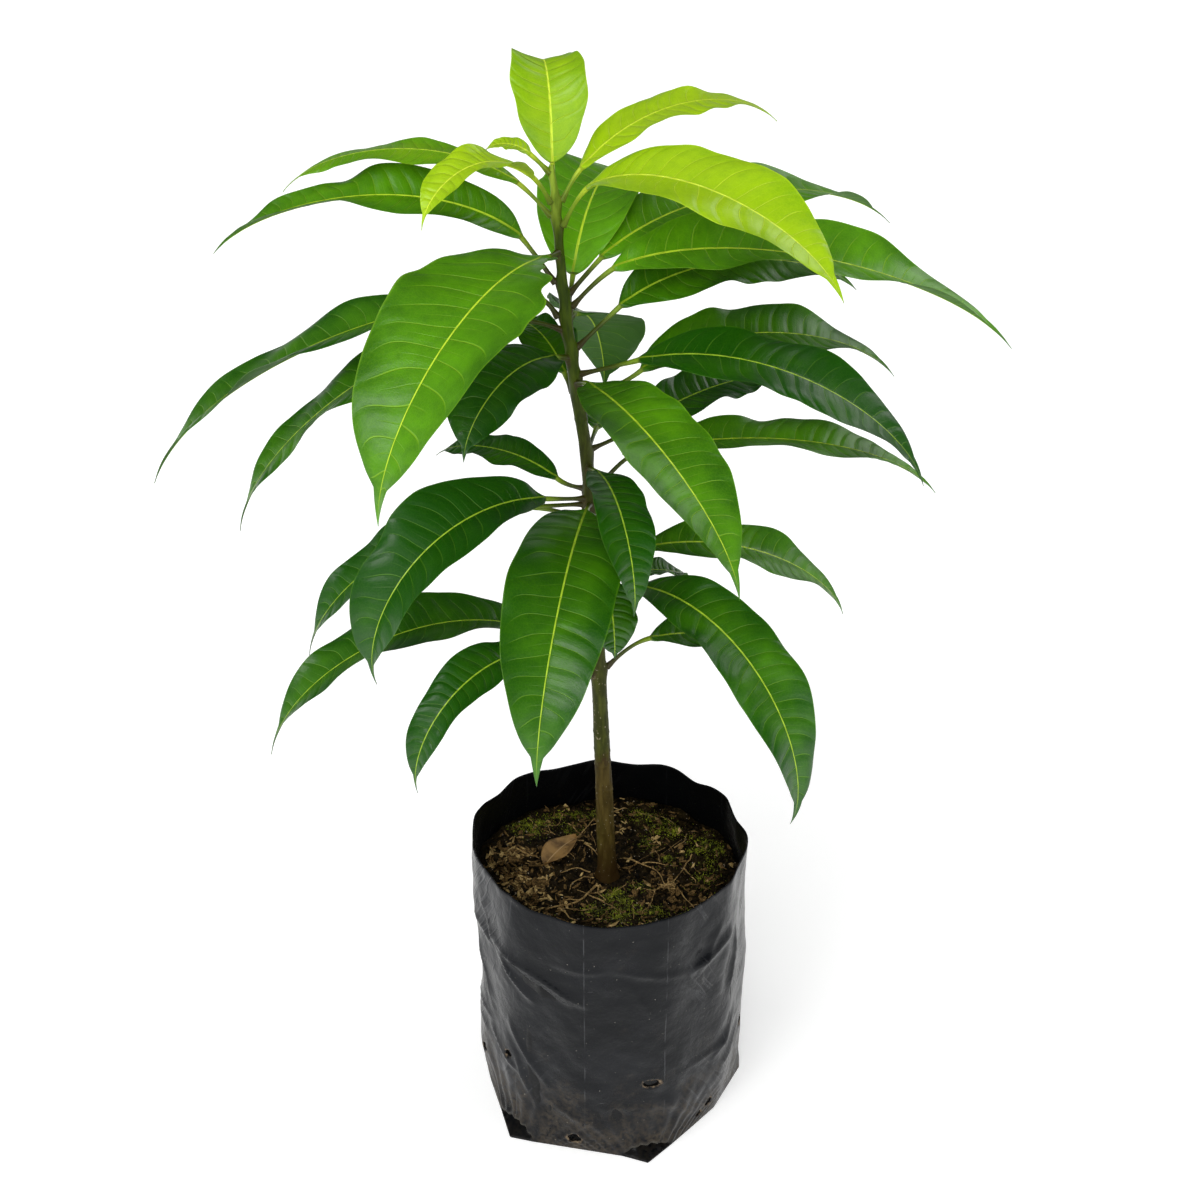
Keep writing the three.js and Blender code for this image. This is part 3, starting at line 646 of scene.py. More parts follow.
MOSS_PLACES = (
    (-58, 42, 5), (-50, 48, 5), (-42, 50, 5), (-33, 56, 5), (-22, 62, 4), (-12, 60, 4), (-46, 40, 5),
    (18, 58, 5), (26, 54, 5), (34, 50, 5), (42, 44, 4), (30, 44, 5), (54, 34, 5), (62, 28, 5), (66, 22, 4),
    (58, 22, 4), (50, 18, 4), (-12, -32, 4), (-5, -38, 5), (4, -38, 5), (12, -36, 5), (21, -39, 5),
    (28, -34, 5), (8, -26, 5), (-2, -22, 4), (16, -12, 4), (56, -6, 5), (60, 6, 5), (44, -38, 4), (36, 12, 4),
    (-30, -50, 4), (10, -56, 7), (-8, -60, 6), (28, -54, 5), (24, 30, 4), (-24, 44, 4), (4, -17, 3),
)
SHOOT_RADIUS, SHOOT_DEPTH = 0.42, 0.6  # of a shoot's foot, and how deep it stands
MOSS_DARK, MOSS_GREEN, MOSS_TIPS = (0.016, 0.022, 0.002), (0.17, 0.19, 0.010), (0.36, 0.40, 0.028)


def moss_shoots(count, seed, tall):
    """Narrow three-sided spikes that lean apart, taller in the middle of their cushion."""
    x, y, rng = placed(count, seed, MOSS_PLACES)
    near = np.min([np.hypot(x - a, y - b) / (1.6 * s) for a, b, s in MOSS_PLACES], 0)
    height = tall * rng.uniform(0.5, 1.0, len(x)) * np.clip(1.25 - near, 0.35, 1)
    foot = 2 * np.pi * np.arange(3) / 3
    base = np.stack([SHOOT_RADIUS * np.cos(foot), SHOOT_RADIUS * np.sin(foot), 0 * foot - SHOOT_DEPTH], -1)
    spikes = np.broadcast_to(np.vstack([base, (0, 0, 1.0)]), (len(x), 4, 3)).copy()
    spikes[:, 3, 2] = height
    faces = np.array([(0, 1, 3), (1, 2, 3), (2, 0, 3), (0, 2, 1)])
    return scattered(turned(spikes, rng, 0.55), faces, x, y)


def moss_material():
    """Moss: dark green between its shoots and fresher at their tips, in soft patches."""
    material, place = new_material("moss")
    patch, fine = mottle(place, 90, 3), mottle(place, 700, 3)
    colour = tint(fine.step(0.45, 0.75), tint(patch.step(0.38, 0.66), MOSS_DARK, MOSS_GREEN), MOSS_TIPS)
    return finish(material, colour, fine * 0.3 + 0.55, fine, 0.2)


make_piece("moss_cushions", [moss_shoots(6800, 51, 2.1)], moss_material(), "soil", smooth=False)

# ---- Fine roots, twigs and a fallen leaf ----
# Pale feeder roots and thin twigs that lie bare on the soil, with a knot of dead root on the right. The fallen
# leaf on the left is a small dry one, curled along its midrib, that still has its stalk.

# Each strand: its half thickness, then the places that it passes.
STRANDS = (
    (0.75, (-8, -9), (-12, -17), (-18, -25), (-30, -32), (-42, -35), (-52, -38)),
    (0.55, (-30, -32), (-25, -38), (-19, -43)), (0.4, (-18, -25), (-24, -24), (-30, -27)),
    (0.55, (50, 15), (46, 6), (41, -3), (37, -11)), (0.5, (44, 3), (48, -3), (51, -10)),
    (0.5, (27, -13), (25, -22), (22, -31), (18, -41)), (0.6, (8, 15), (15, 12), (22, 7), (28, 1), (32, -8)),
    (0.45, (20, 10), (28, 8), (35, 6)), (0.5, (30, -12), (38, -15), (45, -24), (50, -34)),
    (0.5, (33, -10), (27, -14), (20, -13)), (0.45, (-9, -3), (-16, -2), (-22, -8), (-24, -16)),
    (0.45, (-12, 3), (-20, 6), (-30, 2)), (0.5, (-6, -10), (-7, -18), (-2, -25)),
    (0.5, (-58, 20), (-50, 14), (-42, 12)), (0.5, (-16, 30), (-10, 24), (-6, 16)),
    (0.6, (-3, 62), (4, 66), (12, 64)), (0.45, (42, 40), (50, 44), (56, 42)),
    (0.5, (40, 24), (46, 30), (48, 37)), (0.55, (-20.5, 34), (-16, 43), (-9, 56)),
    (0.45, (60, -18), (54, -26), (46, -30)),
)


def strand(path, half, seed, lift=0.6):
    """A thin round strand along a smooth line through its places on the soil: it wanders a little from side to
    side, tapers to its far end and rests on the lumps that it crosses."""
    rng = np.random.default_rng(seed)
    places = np.array(path, float)
    at = np.linspace(0, len(places) - 1, 9 * len(places))
    i = np.clip(np.floor(at).astype(int), 0, len(places) - 2)
    f = (at - i)[:, None]
    pad = np.vstack([2 * places[0] - places[1], places, 2 * places[-1] - places[-2]])
    p0, p1, p2, p3 = pad[i], pad[i + 1], pad[i + 2], pad[i + 3]
    line = 2 * p1 + (p2 - p0) * f + (2 * p0 - 5 * p1 + 4 * p2 - p3) * f**2 + (3 * p1 - p0 - 3 * p2 + p3) * f**3
    line = 0.5 * line + 0.5 * lumps(at[:, None] * 2.3, np.array([3.0, 9.0]) + seed, 60 + seed)
    height = soil_top(line[:, 0], line[:, 1])
    height = np.convolve(np.pad(height, 3, "edge"), np.ones(7) / 7, "valid")
    spine = np.column_stack([line, height + lift + 0.5 * half])
    forward = np.gradient(spine, axis=0)
    forward /= np.linalg.norm(forward, axis=1, keepdims=True)
    side = np.cross(forward, (0, 0, 1.0))
    side /= np.linalg.norm(side, axis=1, keepdims=True)
    up = np.cross(side, forward)
    angle = 2 * np.pi * np.arange(7) / 7
    radius = half * np.linspace(1, 0.45, len(at)) * rng.uniform(0.85, 1.15, len(at))
    ring = np.cos(angle)[:, None] * side[:, None] - np.sin(angle)[:, None] * up[:, None]
    return closed_skin(spine[:, None] + radius[:, None, None] * ring)


rng = np.random.default_rng(61)
hairs = []
for seed, (x, y) in enumerate(zip(*placed(46, 62)[:2])):
    turn, length = rng.uniform(0, 2 * np.pi), rng.uniform(5, 13)
    bend = turn + rng.normal(0, 0.5)
    middle = (x + length * np.cos(turn), y + length * np.sin(turn))
    end = (middle[0] + length * np.cos(bend), middle[1] + length * np.sin(bend))
    if on_soil(*end, SOIL_REACH - 1, 9):
        hairs.append(strand([(x, y), middle, end], rng.uniform(0.2, 0.4), 70 + seed, 0.3))
KNOT = np.array([34.0, -12.0])
knot = []
for k, a in enumerate(np.linspace(0, 5.6, 9)):
    start, end = KNOT + (5 * np.cos(a), 4 * np.sin(a)), KNOT + (6 * np.cos(a + 2), 5 * np.sin(a + 2))
    knot.append(strand([start, KNOT, end], 0.4, 200 + k, 0.8 + 0.25 * k))
strands = [strand(path, half, seed) for seed, (half, *path) in enumerate(STRANDS)]
make_piece("feeder_roots", strands + hairs + knot,
           litter_material("dry_root", (0.15, 0.088, 0.032), (0.40, 0.27, 0.11)), "soil")

LEAF_FALL = ((-39.5, 6.0), (-20.5, 34.0))  # from its tip to its stalk
FALLEN_HALF_WIDTH, FALLEN_CURL, FALLEN_ARCH, FALLEN_FILM = 8.2, 2.6, 2.2, 0.3
FALLEN_BROWN, FALLEN_BLOTCH, FALLEN_RIB = (0.23, 0.130, 0.040), (0.085, 0.045, 0.014), (0.34, 0.22, 0.10)
fallen_at = np.linspace(0, 1, 48)[:, None]
fallen_across = np.concatenate([np.linspace(1, -1, 17)[:-1], np.linspace(-1, 1, 17)[:-1]])[None, :]
fallen_side = np.where(np.arange(32) < 16, -1.0, 1.0)[None, :]
tip, stalk_end = np.array(LEAF_FALL)
run = stalk_end - tip
half = FALLEN_HALF_WIDTH * np.sin(np.pi * fallen_at**0.8) ** 0.8 + 0.25
side_way = np.array([run[1], -run[0]]) / np.hypot(*run)
flat_place = tip + run * fallen_at[..., None] + side_way * (half * fallen_across)[..., None]
ground = soil_top(flat_place[..., 0], flat_place[..., 1]).max() - 1.0
curl = FALLEN_CURL * fallen_across**2 + 0.6 * np.sin(9 * fallen_at + 2 * fallen_across) * fallen_across**2
film = FALLEN_FILM * fallen_side * np.sqrt(1 - fallen_across**2)
rise = ground + curl + FALLEN_ARCH * np.sin(np.pi * fallen_at) + film
fallen = np.concatenate([flat_place, rise[..., None] + 0 * flat_place[..., :1]], -1)


def fallen_material():
    """A dry mango leaf: dull brown with a paler midrib and dark blotches."""
    material, place = new_material("dry_leaf")
    blotch, fibre = mottle(place, 150, 4), mottle(place, 900, 3)
    colour = tint(blotch.step(0.4, 0.7), FALLEN_BROWN, FALLEN_BLOTCH)
    colour = tint(abs(field_of(place, "across")).step(0.06, 0.02), colour, FALLEN_RIB)
    return finish(material, colour, blotch * 0.3 + 0.5, fibre, 0.3)


make_piece("fallen_leaf", [closed_skin(fallen)], fallen_material(), "soil",
           across=with_ends(np.broadcast_to(fallen_across, fallen.shape[:2])))

# ---- The trunk ----
# One green-wood stem, still unbranched. Its foot is grey-brown bark that flares into the soil, and above the
# first leaves it is smooth, dark olive and then green. A swollen knob carries each leaf stalk.

STEM = np.array([  # height, sideways lean, depthwise lean, diameter
    (137.0, -1.4, 0, 16.5), (141.3, -1.5, 0, 14.2), (145, -1.6, 0, 12.4), (155, -1.9, 0, 11.2),
    (209, -3.7, 0, 9.5), (263, -5.9, 0, 8.5), (284, -6.7, 0, 8.4), (335, -8.6, 0, 7.8), (391, -11.2, 0, 7.2),
    (418, -13.8, 0, 6.6), (450, -18.6, 0, 6.2), (485, -22.8, 0, 5.4), (520, -25.8, 0, 4.4),
    (544, -27.4, 0, 3.6), (556, -28.2, 0, 1.2),
])
STEM_AROUND, STEM_RINGS = 56, 720
RING_SCARS = (176, 204, 222, 231, 243, 262, 300, 318, 330, 362, 430)  # where earlier leaves have dropped
SCAR_RISE, SCAR_HALF, SCAR_WAVE = 0.22, 0.9, 1.2
KNOB_SWELL, KNOB_HALF_TURN, KNOB_ABOVE, KNOB_BELOW = 1.3, 44, 3.0, 5.5  # the knob that carries a leaf stalk
KNOB_DROP = 0.8  # its middle lies this far below the joint
BARK_CELLS = ((26, 16, 0.07), (40, 5, 0.06), (14, 2.6, 0.06))  # cells round, millimetres up, rise
SMOOTH_ABOVE, SMOOTHS_OVER = 330, 100  # the bark is smooth from here up, and fully rough this much lower
FLARE_AT, FLARE_HALF, FLARE_RISE = 141, 4.5, 0.5  # lobes of the root flare at soil level
BARK_GREY, BARK_BROWN, BARK_MOSSY = (0.034, 0.023, 0.004), (0.068, 0.048, 0.011), (0.050, 0.048, 0.009)
SOIL_STAIN, SCAR_TINT, PORE_TINT, CORK = (
    (0.028, 0.015, 0.004), (0.030, 0.016, 0.006), (0.2, 0.17, 0.11), (0.050, 0.034, 0.014)
)
OLIVE_BARK = (0.024, 0.028, 0.003), (0.052, 0.060, 0.008)
GREEN_BARK = (0.024, 0.044, 0.001), (0.058, 0.092, 0.003)
FRESH_BARK = (0.12, 0.19, 0.012), (0.24, 0.34, 0.03)  # between streaks, and on them
OLIVE_FROM, GREEN_FROM, FRESH_FROM = (0.216, 0.236), (0.40, 0.47), (0.515, 0.55)  # metres up

# One leaf a row, in millimetres and degrees: joint height and azimuth; stalk length and rise; blade length and
# width; lift at the blade's base, droop at its tip, and how soon it bends over; swing sideways; roll at the
# base and further to the tip; fold up along the midrib; ripple of the margins; and age, from 0 fresh to 1 dark.
LEAVES = {
    "leaf_01": (548, 99, 8, 74, 87, 37, 84, -115, 2, 0, 0, 0, 16, 1, 0.42),
    "leaf_02": (540, 17, 16, 62, 110, 36, 47, -23, 1, 0, 8, 0, 4, 1, 0.05),
    "leaf_03": (553, 170, 11, 44, 24, 14, 38, -30, 1, 0, -14, 0, 10, 0, 0.1),
    "leaf_04": (540, 223, 16, 57, 78, 27, 38, -60, 1, 0, -8, 0, 14, 1, 0.05),
    "leaf_05": (533, 172, 20, 48, 125, 24, 37, -28, 0.7, 0, -14, 0, -5, 1, 0.8),
    "leaf_06": (501, 181, 26, 56, 159, 33, 51, -26, 0.5, 0, -50, 62, 18, 2, 0.5),
    "leaf_07": (515, 247, 14, 1, 180, 75, 8, -66, 1, -15, 0, 0, 12, 1, 0.38),
    "leaf_08": (484, 183, 16, 60, 226, 42, -1, -46, 1, 0, -4, 0, 14, 3, 0.7),
    "leaf_09": (477, 192, 28, 22, 178, 39, -9, -58, 1, 0, -6, 0, 8, 3, 0.68),
    "leaf_10": (463, 232, 10, 17, 84, 46, 14, -64, 1, 0, -10, 0, 12, 2, 0.9),
    "leaf_11": (444, 122, 10, 45, 54, 32, 46, -12, 1, 0, 0, 0, 14, 2, 0.7),
    "leaf_12": (391, 152, 16, -3, 80, 25, 31, -22, 0.8, 0, -14, 0, 6, 1, 0.85),
    "leaf_13": (387, 214, 24, 12, 150, 48, 15, -86, 1, 0, -22, 0, 24, 2, 1.0),
    "leaf_14": (383, 187, 26, 0, 156, 36, -2, -60, 1, 0, -16, 0, 14, 2, 0.9),
    "leaf_15": (287, 198, 32, 45, 182, 43, 39, -57, 0.8, 0, -6, 0, 16, 2, 0.75),
    "leaf_16": (283, 220.5, 38, 44, 123, 28, 28.5, -83, 0.95, 0, -18, 0, 16, 2, 0.95),
    "leaf_17": (384, 262, 12, 10, 167, 54, 5, -71, 1, -6, -10, 0, 12, 1, 0.72),
    "leaf_18": (404.5, 287, 13, 13.5, 95, 30, 12, -88, 1, 0, -10, 0, 12, 1, 0.9),
    "leaf_19": (350, 291, 12, -14, 44, 26, -34, -84, 1, -16, 0, 0, 14, 1, 0.8),
    "leaf_20": (338, 30, 18, -4, 42, 24, -2, -30, 1, 0, 0, 0, 14, 1, 0.7),
    "leaf_21": (349, 5, 24, 24, 128, 35, 10, -50, 1, 0, 16, 0, 12, 2, 0.55),
    "leaf_22": (334, 315.4, 28, 27, 174, 41, 17.5, -91, 0.9, 0, 14, 0, 14, 2, 0.75),
    "leaf_23": (285, 14, 28, 43, 98, 33, 7, -54, 1, 0, 14, 0, 14, 2, 0.7),
    "leaf_24": (450, 294, 14, 22, 151, 48, 5, -59, 1, 24, 4, 0, 14, 1, 0.5),
    "leaf_25": (479, 76, 12, 14, 94, 54, -6, -78, 1, 0, 10, 0, 12, 1, 0.7),
    "leaf_26": (441, 16, 32, 14, 153, 42, 35, -30, 0.66, 0, 20, -6, 12, 2, 0.6),
    "leaf_27": (454, 350, 30, 16, 167, 46, 18, -49, 0.8, 0, 18, 0, 8, 2, 0.9),
    "leaf_28": (413, 32, 30, 10, 102, 36, 22, -10, 1, 0, 14, 0, 12, 2, 0.8),
    "leaf_29": (393, 2, 36, 53, 157, 38, 8, -29.5, 1.3, 0, 7, 0, 14, 2, 0.5),
    "leaf_30": (468, 14, 28, 42, 134, 40, 40, -24, 0.7, 0, 30, 0, 12, 2, 0.6),
    "leaf_31": (489, 0, 26, 48, 212, 46, 33.5, -28, 0.45, 0, 36, -38, 18, 3, 0.36),
    "leaf_32": (529, 331, 22, 62, 146, 49, 41, -41, 0.5, 0, 19, 0, 14, 1, 0.2),
    "leaf_33": (495, 29, 22, 42, 190, 44, 39.5, -21, 0.6, 0, 26, -28, 10, 3, 0.35),
    "leaf_34": (487, 73.5, 16, 57, 144, 58, 61, -50, 1, 0, 0, 0, 14, 1, 0.05),
    "leaf_35": (286, 100, 26, 40, 110, 36, 20, -60, 1, 0, 0, 0, 14, 1, 0.75),
    "leaf_36": (374, 142, 32, -4, 116, 34, -8, -60, 1, 0, 0, 0, 14, 2, 0.75),
    "leaf_37": (410, 80, 26, 12, 110, 34, 4, -58, 1, 0, 0, 0, 14, 2, 0.7),
}


def stem_at(height):
    """The stem's centre and radius at a height, straight between the listed places."""
    centre = np.stack([np.interp(height, STEM[:, 0], STEM[:, k]) for k in (1, 2)] + [height + 0.0], -1)
    return centre, np.interp(height, STEM[:, 0], STEM[:, 3]) / 2


def knob_swell(azimuth, height):
    """0 to 1: a rounded swelling where each leaf stalk joins, drawn out a little below the joint."""
    swell = np.zeros(np.broadcast(azimuth, height).shape)
    for joint, way, *_ in LEAVES.values():
        drop = height - joint + KNOB_DROP
        shape = (off_azimuth(azimuth, way) / KNOB_HALF_TURN) ** 2
        shape = shape + (drop / np.where(drop < 0, KNOB_BELOW, KNOB_ABOVE)) ** 2
        swell = np.maximum(swell, np.exp(-shape))
    return swell


def bark_relief(azimuth, height):
    """Bark on the foot: upright ridges and small plates that fade out above the first leaves, soft ring scars
    round the whole stem, and lobes at the flare where the first roots leave."""
    turn = azimuth / 360
    old = np.clip((SMOOTH_ABOVE - height) / SMOOTHS_OVER, 0, 1)
    rough = 0.0
    for seed, (cells, tall, rise) in enumerate(BARK_CELLS, 81):
        rough = rough + rise * lumps(turn * cells, height / tall, seed, cells)
    rings = 0.0
    for scar in RING_SCARS:
        wavy = scar + SCAR_WAVE * sine(azimuth + 31 * scar)
        rings = rings + SCAR_RISE * hump(height - wavy, SCAR_HALF)
    uneven = 0.2 * lumps(turn * 4, height / 22, 84, 4)
    flare = FLARE_RISE * hump(height - FLARE_AT, FLARE_HALF) * cosine(4 * azimuth + 50)
    return (0.15 + 0.85 * old) * rough + rings + uneven + flare


def bark_material():
    """Bark by height: soil-stained brown at the foot, grey-brown with pale pores up to a ring scar, dark olive,
    green, and yellow-green at the tip. The knobs stay brown and corky."""
    material, place = new_material("stem_bark")
    height, knob = place.parts()[2], field_of(place, "knob")
    streak, patch = mottle(place, 380, 4, (1, 1, 0.22)), mottle(place, 90, 4, (1, 1, 0.5))
    wander = patch * 0.05 + (height - 0.025)
    streaked = streak.step(0.35, 0.7)
    old = layers(
        tint(streak.step(0.35, 0.68), BARK_GREY, BARK_BROWN),
        (patch.step(0.5, 0.75), 0.5, BARK_MOSSY), (wander.step(0.172, 0.142), 1.0, SOIL_STAIN),
    )
    olive, green, fresh = (tint(streaked, *tones) for tones in (OLIVE_BARK, GREEN_BARK, FRESH_BARK))
    pores = mottle(place, 620, 2, (1, 1, 0.7)).step(0.66, 0.72) * height.step(0.45, 0.25)
    corky = knob.step(0.3, 0.85) * height.step(0.55, 0.50)
    colour = layers(
        old, (wander.step(*OLIVE_FROM), 1.0, olive), (abs(wander - 0.222).step(0.0016, 0.0005), 0.6, SCAR_TINT),
        (wander.step(*GREEN_FROM), 1.0, green), (wander.step(*FRESH_FROM), 1.0, fresh),
        (pores, 1.0, PORE_TINT), (corky, 0.65, CORK),
    )
    relief = mottle(place, 1400, 3, (1, 1, 0.4)) * 0.35 + streak
    return finish(material, colour, height.step(0.42, 0.28) * 0.12 + 0.43, relief, 0.4, Specular_IOR_Level=0.15)


azimuths = 360 * np.arange(STEM_AROUND) / STEM_AROUND
levels = np.linspace(STEM[0, 0], STEM[-1, 0] - 0.1, STEM_RINGS)[:, None]
centre, radius = stem_at(levels[:, 0])
knob = knob_swell(azimuths, levels)
bark = bark_relief(azimuths, levels) * np.clip(radius[:, None] / 3, 0.2, 1)
swollen = radius[:, None] + bark + KNOB_SWELL * knob
stem_rings = ring_points(azimuths, swollen, 0 * levels) + centre[:, None, :]
make_piece("stem", [closed_skin(stem_rings)], bark_material(), "bark", "trunk", knob=with_ends(knob))

# ---- The leaves ----
# Each mango leaf is one simple blade on a round stalk with a swollen foot. The blade folds up a little along
# its bright midrib, hangs over towards a drip tip, puckers between its side veins and waves along its margins.
# The youngest are lime green and limp, and the rest are leathery and glossy.

YOUNG_LEAVES = ("leaf_01", "leaf_02", "leaf_03", "leaf_04", "leaf_05", "leaf_32")
STALK_RADIUS, STALK_FOOT_RADIUS = 1.2, 1.8
WIDEST_AT, FULLNESS, BODY_SHARE = 0.47, 1.4, 0.91  # the outline, as shares of the blade's length
TIP_HOOK, RIPPLES = 22.0, 2.6  # degrees that the tip hooks down, and waves along a margin
DRIP_TIP = 0.15  # half width where the drip tip leaves the blade, as a share of the blade's half width
NOTCHES = {  # share of the length, right side 1 or left side -1, and depth, where a leaf grew uneven
    "leaf_07": ((0.08, -1, 0.5), (0.14, -1, 0.5), (0.205, -1, 0.42), (0.30, -1, 0.22), (0.43, -1, 0.07)),
    "leaf_01": ((0.80, 1, 0.10),),
}
SINK, STALK_GAP = 1.6, 0.45  # the stalk's foot goes this far into its knob, from this far off the stem's skin
STALK_FOOT_LENGTH, NECK_LENGTH, NECK_SWELL = 4.2, 5.0, 0.25  # of the swellings at the stalk's two ends
TOP_JOINTS, TOP_STALK = 525, 0.86  # a leaf from above this height has a stalk this much as thick
SCALLOP, NOTCH_HALF = 0.035, 0.04  # unevenness of the margin, and half length of a notch, as shares
VEIN_SLOPE, VEIN_CURVE = 0.25, 0.3  # how far a side vein runs forward, straight and towards the margin
PUCKER, TOP_PUCKER = 0.34, 0.2  # depth of the blade's puckers between two side veins
FRILL, FRILL_SHARE = 0.4, 0.055  # rise of the frilled margin, plain and as a share of the half width
BUCKLE, TROUGH = 0.9, 0.35  # rise of the blade's wide waves, and share of the trough beside the midrib
RIB_HALF, RIB_END = 1.25, 0.22  # the midrib's half width that runs out to the tip, and what is left there
RIB_ABOVE, RIB_BELOW = 0.22, 0.85  # its rise on either face, as shares of its half width
BLADE_FILM = 0.16  # half the blade's thickness between its veins
MOST_VEINS = 22
HALF_AROUND, BLADE_RINGS, STALK_RINGS = 38, 132, 18


def heading(azimuth, elevation):
    """The direction at an azimuth and an elevation, in degrees."""
    a, e = np.broadcast_arrays(np.radians(azimuth), np.radians(elevation))
    return np.stack([np.cos(e) * np.cos(a), np.cos(e) * np.sin(a), np.sin(e)], -1)


def cross_frame(azimuth, elevation, roll):
    """The rightward and upward directions across something that runs in a direction and is rolled about it."""
    forward = heading(azimuth, elevation)
    right = heading(np.asarray(azimuth) - 90.0, 0.0 * np.asarray(elevation))
    up = np.cross(right, forward)
    turn = np.radians(roll)[..., None]
    return right * np.cos(turn) - up * np.sin(turn), up * np.cos(turn) + right * np.sin(turn)


def blade_outline(t):
    """The blade's width at a share of its length, as a share of its greatest width: a power of the way from the
    base times a power of the way to the end of its body, and nothing along the drip tip."""
    along = np.minimum(t / BODY_SHARE, 1)
    base = (along / WIDEST_AT) ** (FULLNESS * WIDEST_AT)
    return base * ((1 - along) / (1 - WIDEST_AT)) ** (FULLNESS * (1 - WIDEST_AT))


def leaf_skin(row, seed, notches=()):
    """One leaf as a closed skin. Rings run along the stalk and then the blade, each from the right margin under
    the leaf to the left margin and back over it. The spine is the sum of short steps that bend from the lift at
    the base to the droop at the tip. Notches narrow one side at a share of the length. Fields: vein (side vein
    count, millimetres from the midrib, share along) and blade (share of the half width, underside, age)."""
    joint, azimuth, stalk, rise, blade, width, lift, droop, bend, swing, roll, twist, fold, ripple, age = row
    rng = np.random.default_rng(seed)
    shift = rng.uniform(0, 10, 6)
    spread = np.linspace(1, -1, HALF_AROUND + 1)[:-1]
    under = np.sign(spread) * np.abs(spread) ** 1.25
    under[[1, -1]] = 0.985, -0.985
    a = np.concatenate([under, -under])[None, :]
    side = np.repeat([-1.0, 1.0], HALF_AROUND)[None, :]

    stem_centre, stem_radius = stem_at(joint)
    reach = stem_radius + STALK_GAP + STALK_FOOT_RADIUS * sine(abs(rise))
    start = stem_centre + heading(azimuth, 0.0) * (reach - SINK * cosine(rise))
    start = start - np.array([0, 0, SINK * sine(rise)])
    along = np.linspace(0, 1, STALK_RINGS)
    lifts = rise + (lift - rise) * along**2
    middle = rise + (lift - rise) * ((along[1:] + along[:-1]) / 2) ** 2
    steps = heading(azimuth, middle) * ((stalk + SINK) / (STALK_RINGS - 1))
    stalk_spine = start + np.vstack([[0, 0, 0], np.cumsum(steps, 0)])
    right, up = cross_frame(np.full_like(lifts, azimuth), lifts, roll * along)
    foot = hump(along * (stalk + SINK), STALK_FOOT_LENGTH) * (STALK_FOOT_RADIUS - STALK_RADIUS + 0.15)
    neck = NECK_SWELL * hump((1 - along) * stalk, NECK_LENGTH)
    round_half = STALK_RADIUS * (0.94 + 0.05 * np.sin(7 * along + shift[0])) + foot + neck
    if joint > TOP_JOINTS:
        round_half = round_half * TOP_STALK
    over = side * np.sqrt(np.maximum(1 - a**2, 0))
    stalk_points = stalk_spine[:, None] + round_half[:, None, None] * (
        right[:, None] * a[..., None] + up[:, None] * over[..., None]
    )

    t = np.linspace(0, 1, BLADE_RINGS + 1)[1:]
    elevation = lambda s: lift + (droop - lift) * s**bend - TIP_HOOK * s**8
    mid = t - t[0] / 2
    steps = heading(azimuth + swing * mid, elevation(mid)) * blade * t[0]
    spine = stalk_spine[-1] + np.cumsum(steps, 0)
    right, up = cross_frame(azimuth + swing * t, elevation(t), roll + twist * t)
    opened = np.clip(t / 0.06, 0, 1)
    opened = (opened * opened * (3 - 2 * opened))[:, None]
    drip = np.clip((1.004 - t) / 0.13, 0, 1) ** 1.1 * np.clip((t - 0.5) / 0.4, 0, 1)
    drip = (DRIP_TIP * width / 2 + 0.3) * drip
    neck = round_half[-1] * (1 - opened[:, 0])
    scallop = 1 + SCALLOP * lumps(t * 9 + shift[4], 0 * t, 400 + seed)[:, None] * np.sign(a)
    for at, way, depth in notches:
        scallop = scallop * (1 - depth * hump(t[:, None] - at, NOTCH_HALF) * (np.sign(a) == way))
    half = np.sqrt((width / 2 * blade_outline(t)) ** 2 + drip**2 + neck**2)[:, None] * scallop
    y = half * a
    t = t[:, None]
    lean = np.where(a < 0, shift[1], shift[1] + 0.5)
    pairs = min(5 + 3.3 * blade / width, MOST_VEINS)
    count = t * pairs - np.abs(y) * pairs / blade * (VEIN_SLOPE + VEIN_CURVE * np.abs(a) ** 3)
    count = count + lean + 0.22 * np.sin(11 * t + shift[2]) + 0.1 * np.sin(29 * t + 3 * a + shift[3])
    pillow = np.abs(np.cos(np.pi * count)) ** 0.7
    body = np.sin(np.pi * np.clip(t, 0, 1)) ** 0.5 * np.clip(half / 8, 0, 1)
    web = np.clip(np.abs(a) * 5, 0, 1) * np.clip((1 - np.abs(a)) * 3.2, 0, 1) ** 0.7
    pucker = (PUCKER if joint < TOP_JOINTS else TOP_PUCKER) * (1 - pillow) * body * web
    wave = (ripple + 0.4) * np.sin(2 * np.pi * RIPPLES * t + 1.6 * a) * a**2 * np.sin(np.pi * t)
    frill = lumps(t * 13 + shift[4], 0 * t + np.sign(a), 350 + seed) * np.abs(a) ** 3 * body
    frill = frill * (FRILL + FRILL_SHARE * half)
    buckle = BUCKLE * lumps(t * 6 + shift[5], a * 1.6 + 8 + 0 * t, 300 + seed) * body * np.abs(a)
    trough = TROUGH * half * sine(fold) * (np.abs(a) ** 0.8 - np.abs(a))
    sheet = half * np.abs(a) * sine(fold) + trough + wave + frill + buckle - pucker
    rib = (RIB_HALF * (1 - t) ** 0.8 + RIB_END) * np.clip(half / 2, 0.2, 1)
    film = BLADE_FILM * np.sqrt(np.maximum(1 - a**2, 0))
    on_rib = hump(y, 0.75 * rib)
    thick = np.where(side > 0, film + RIB_ABOVE * rib * on_rib, -film - RIB_BELOW * rib * on_rib)
    lens = round_half[-1] * over
    offset = (sheet + thick) * opened + lens * (1 - opened)
    blade_points = spine[:, None] + right[:, None] * (y * cosine(fold))[..., None]
    blade_points = blade_points + up[:, None] * offset[..., None]

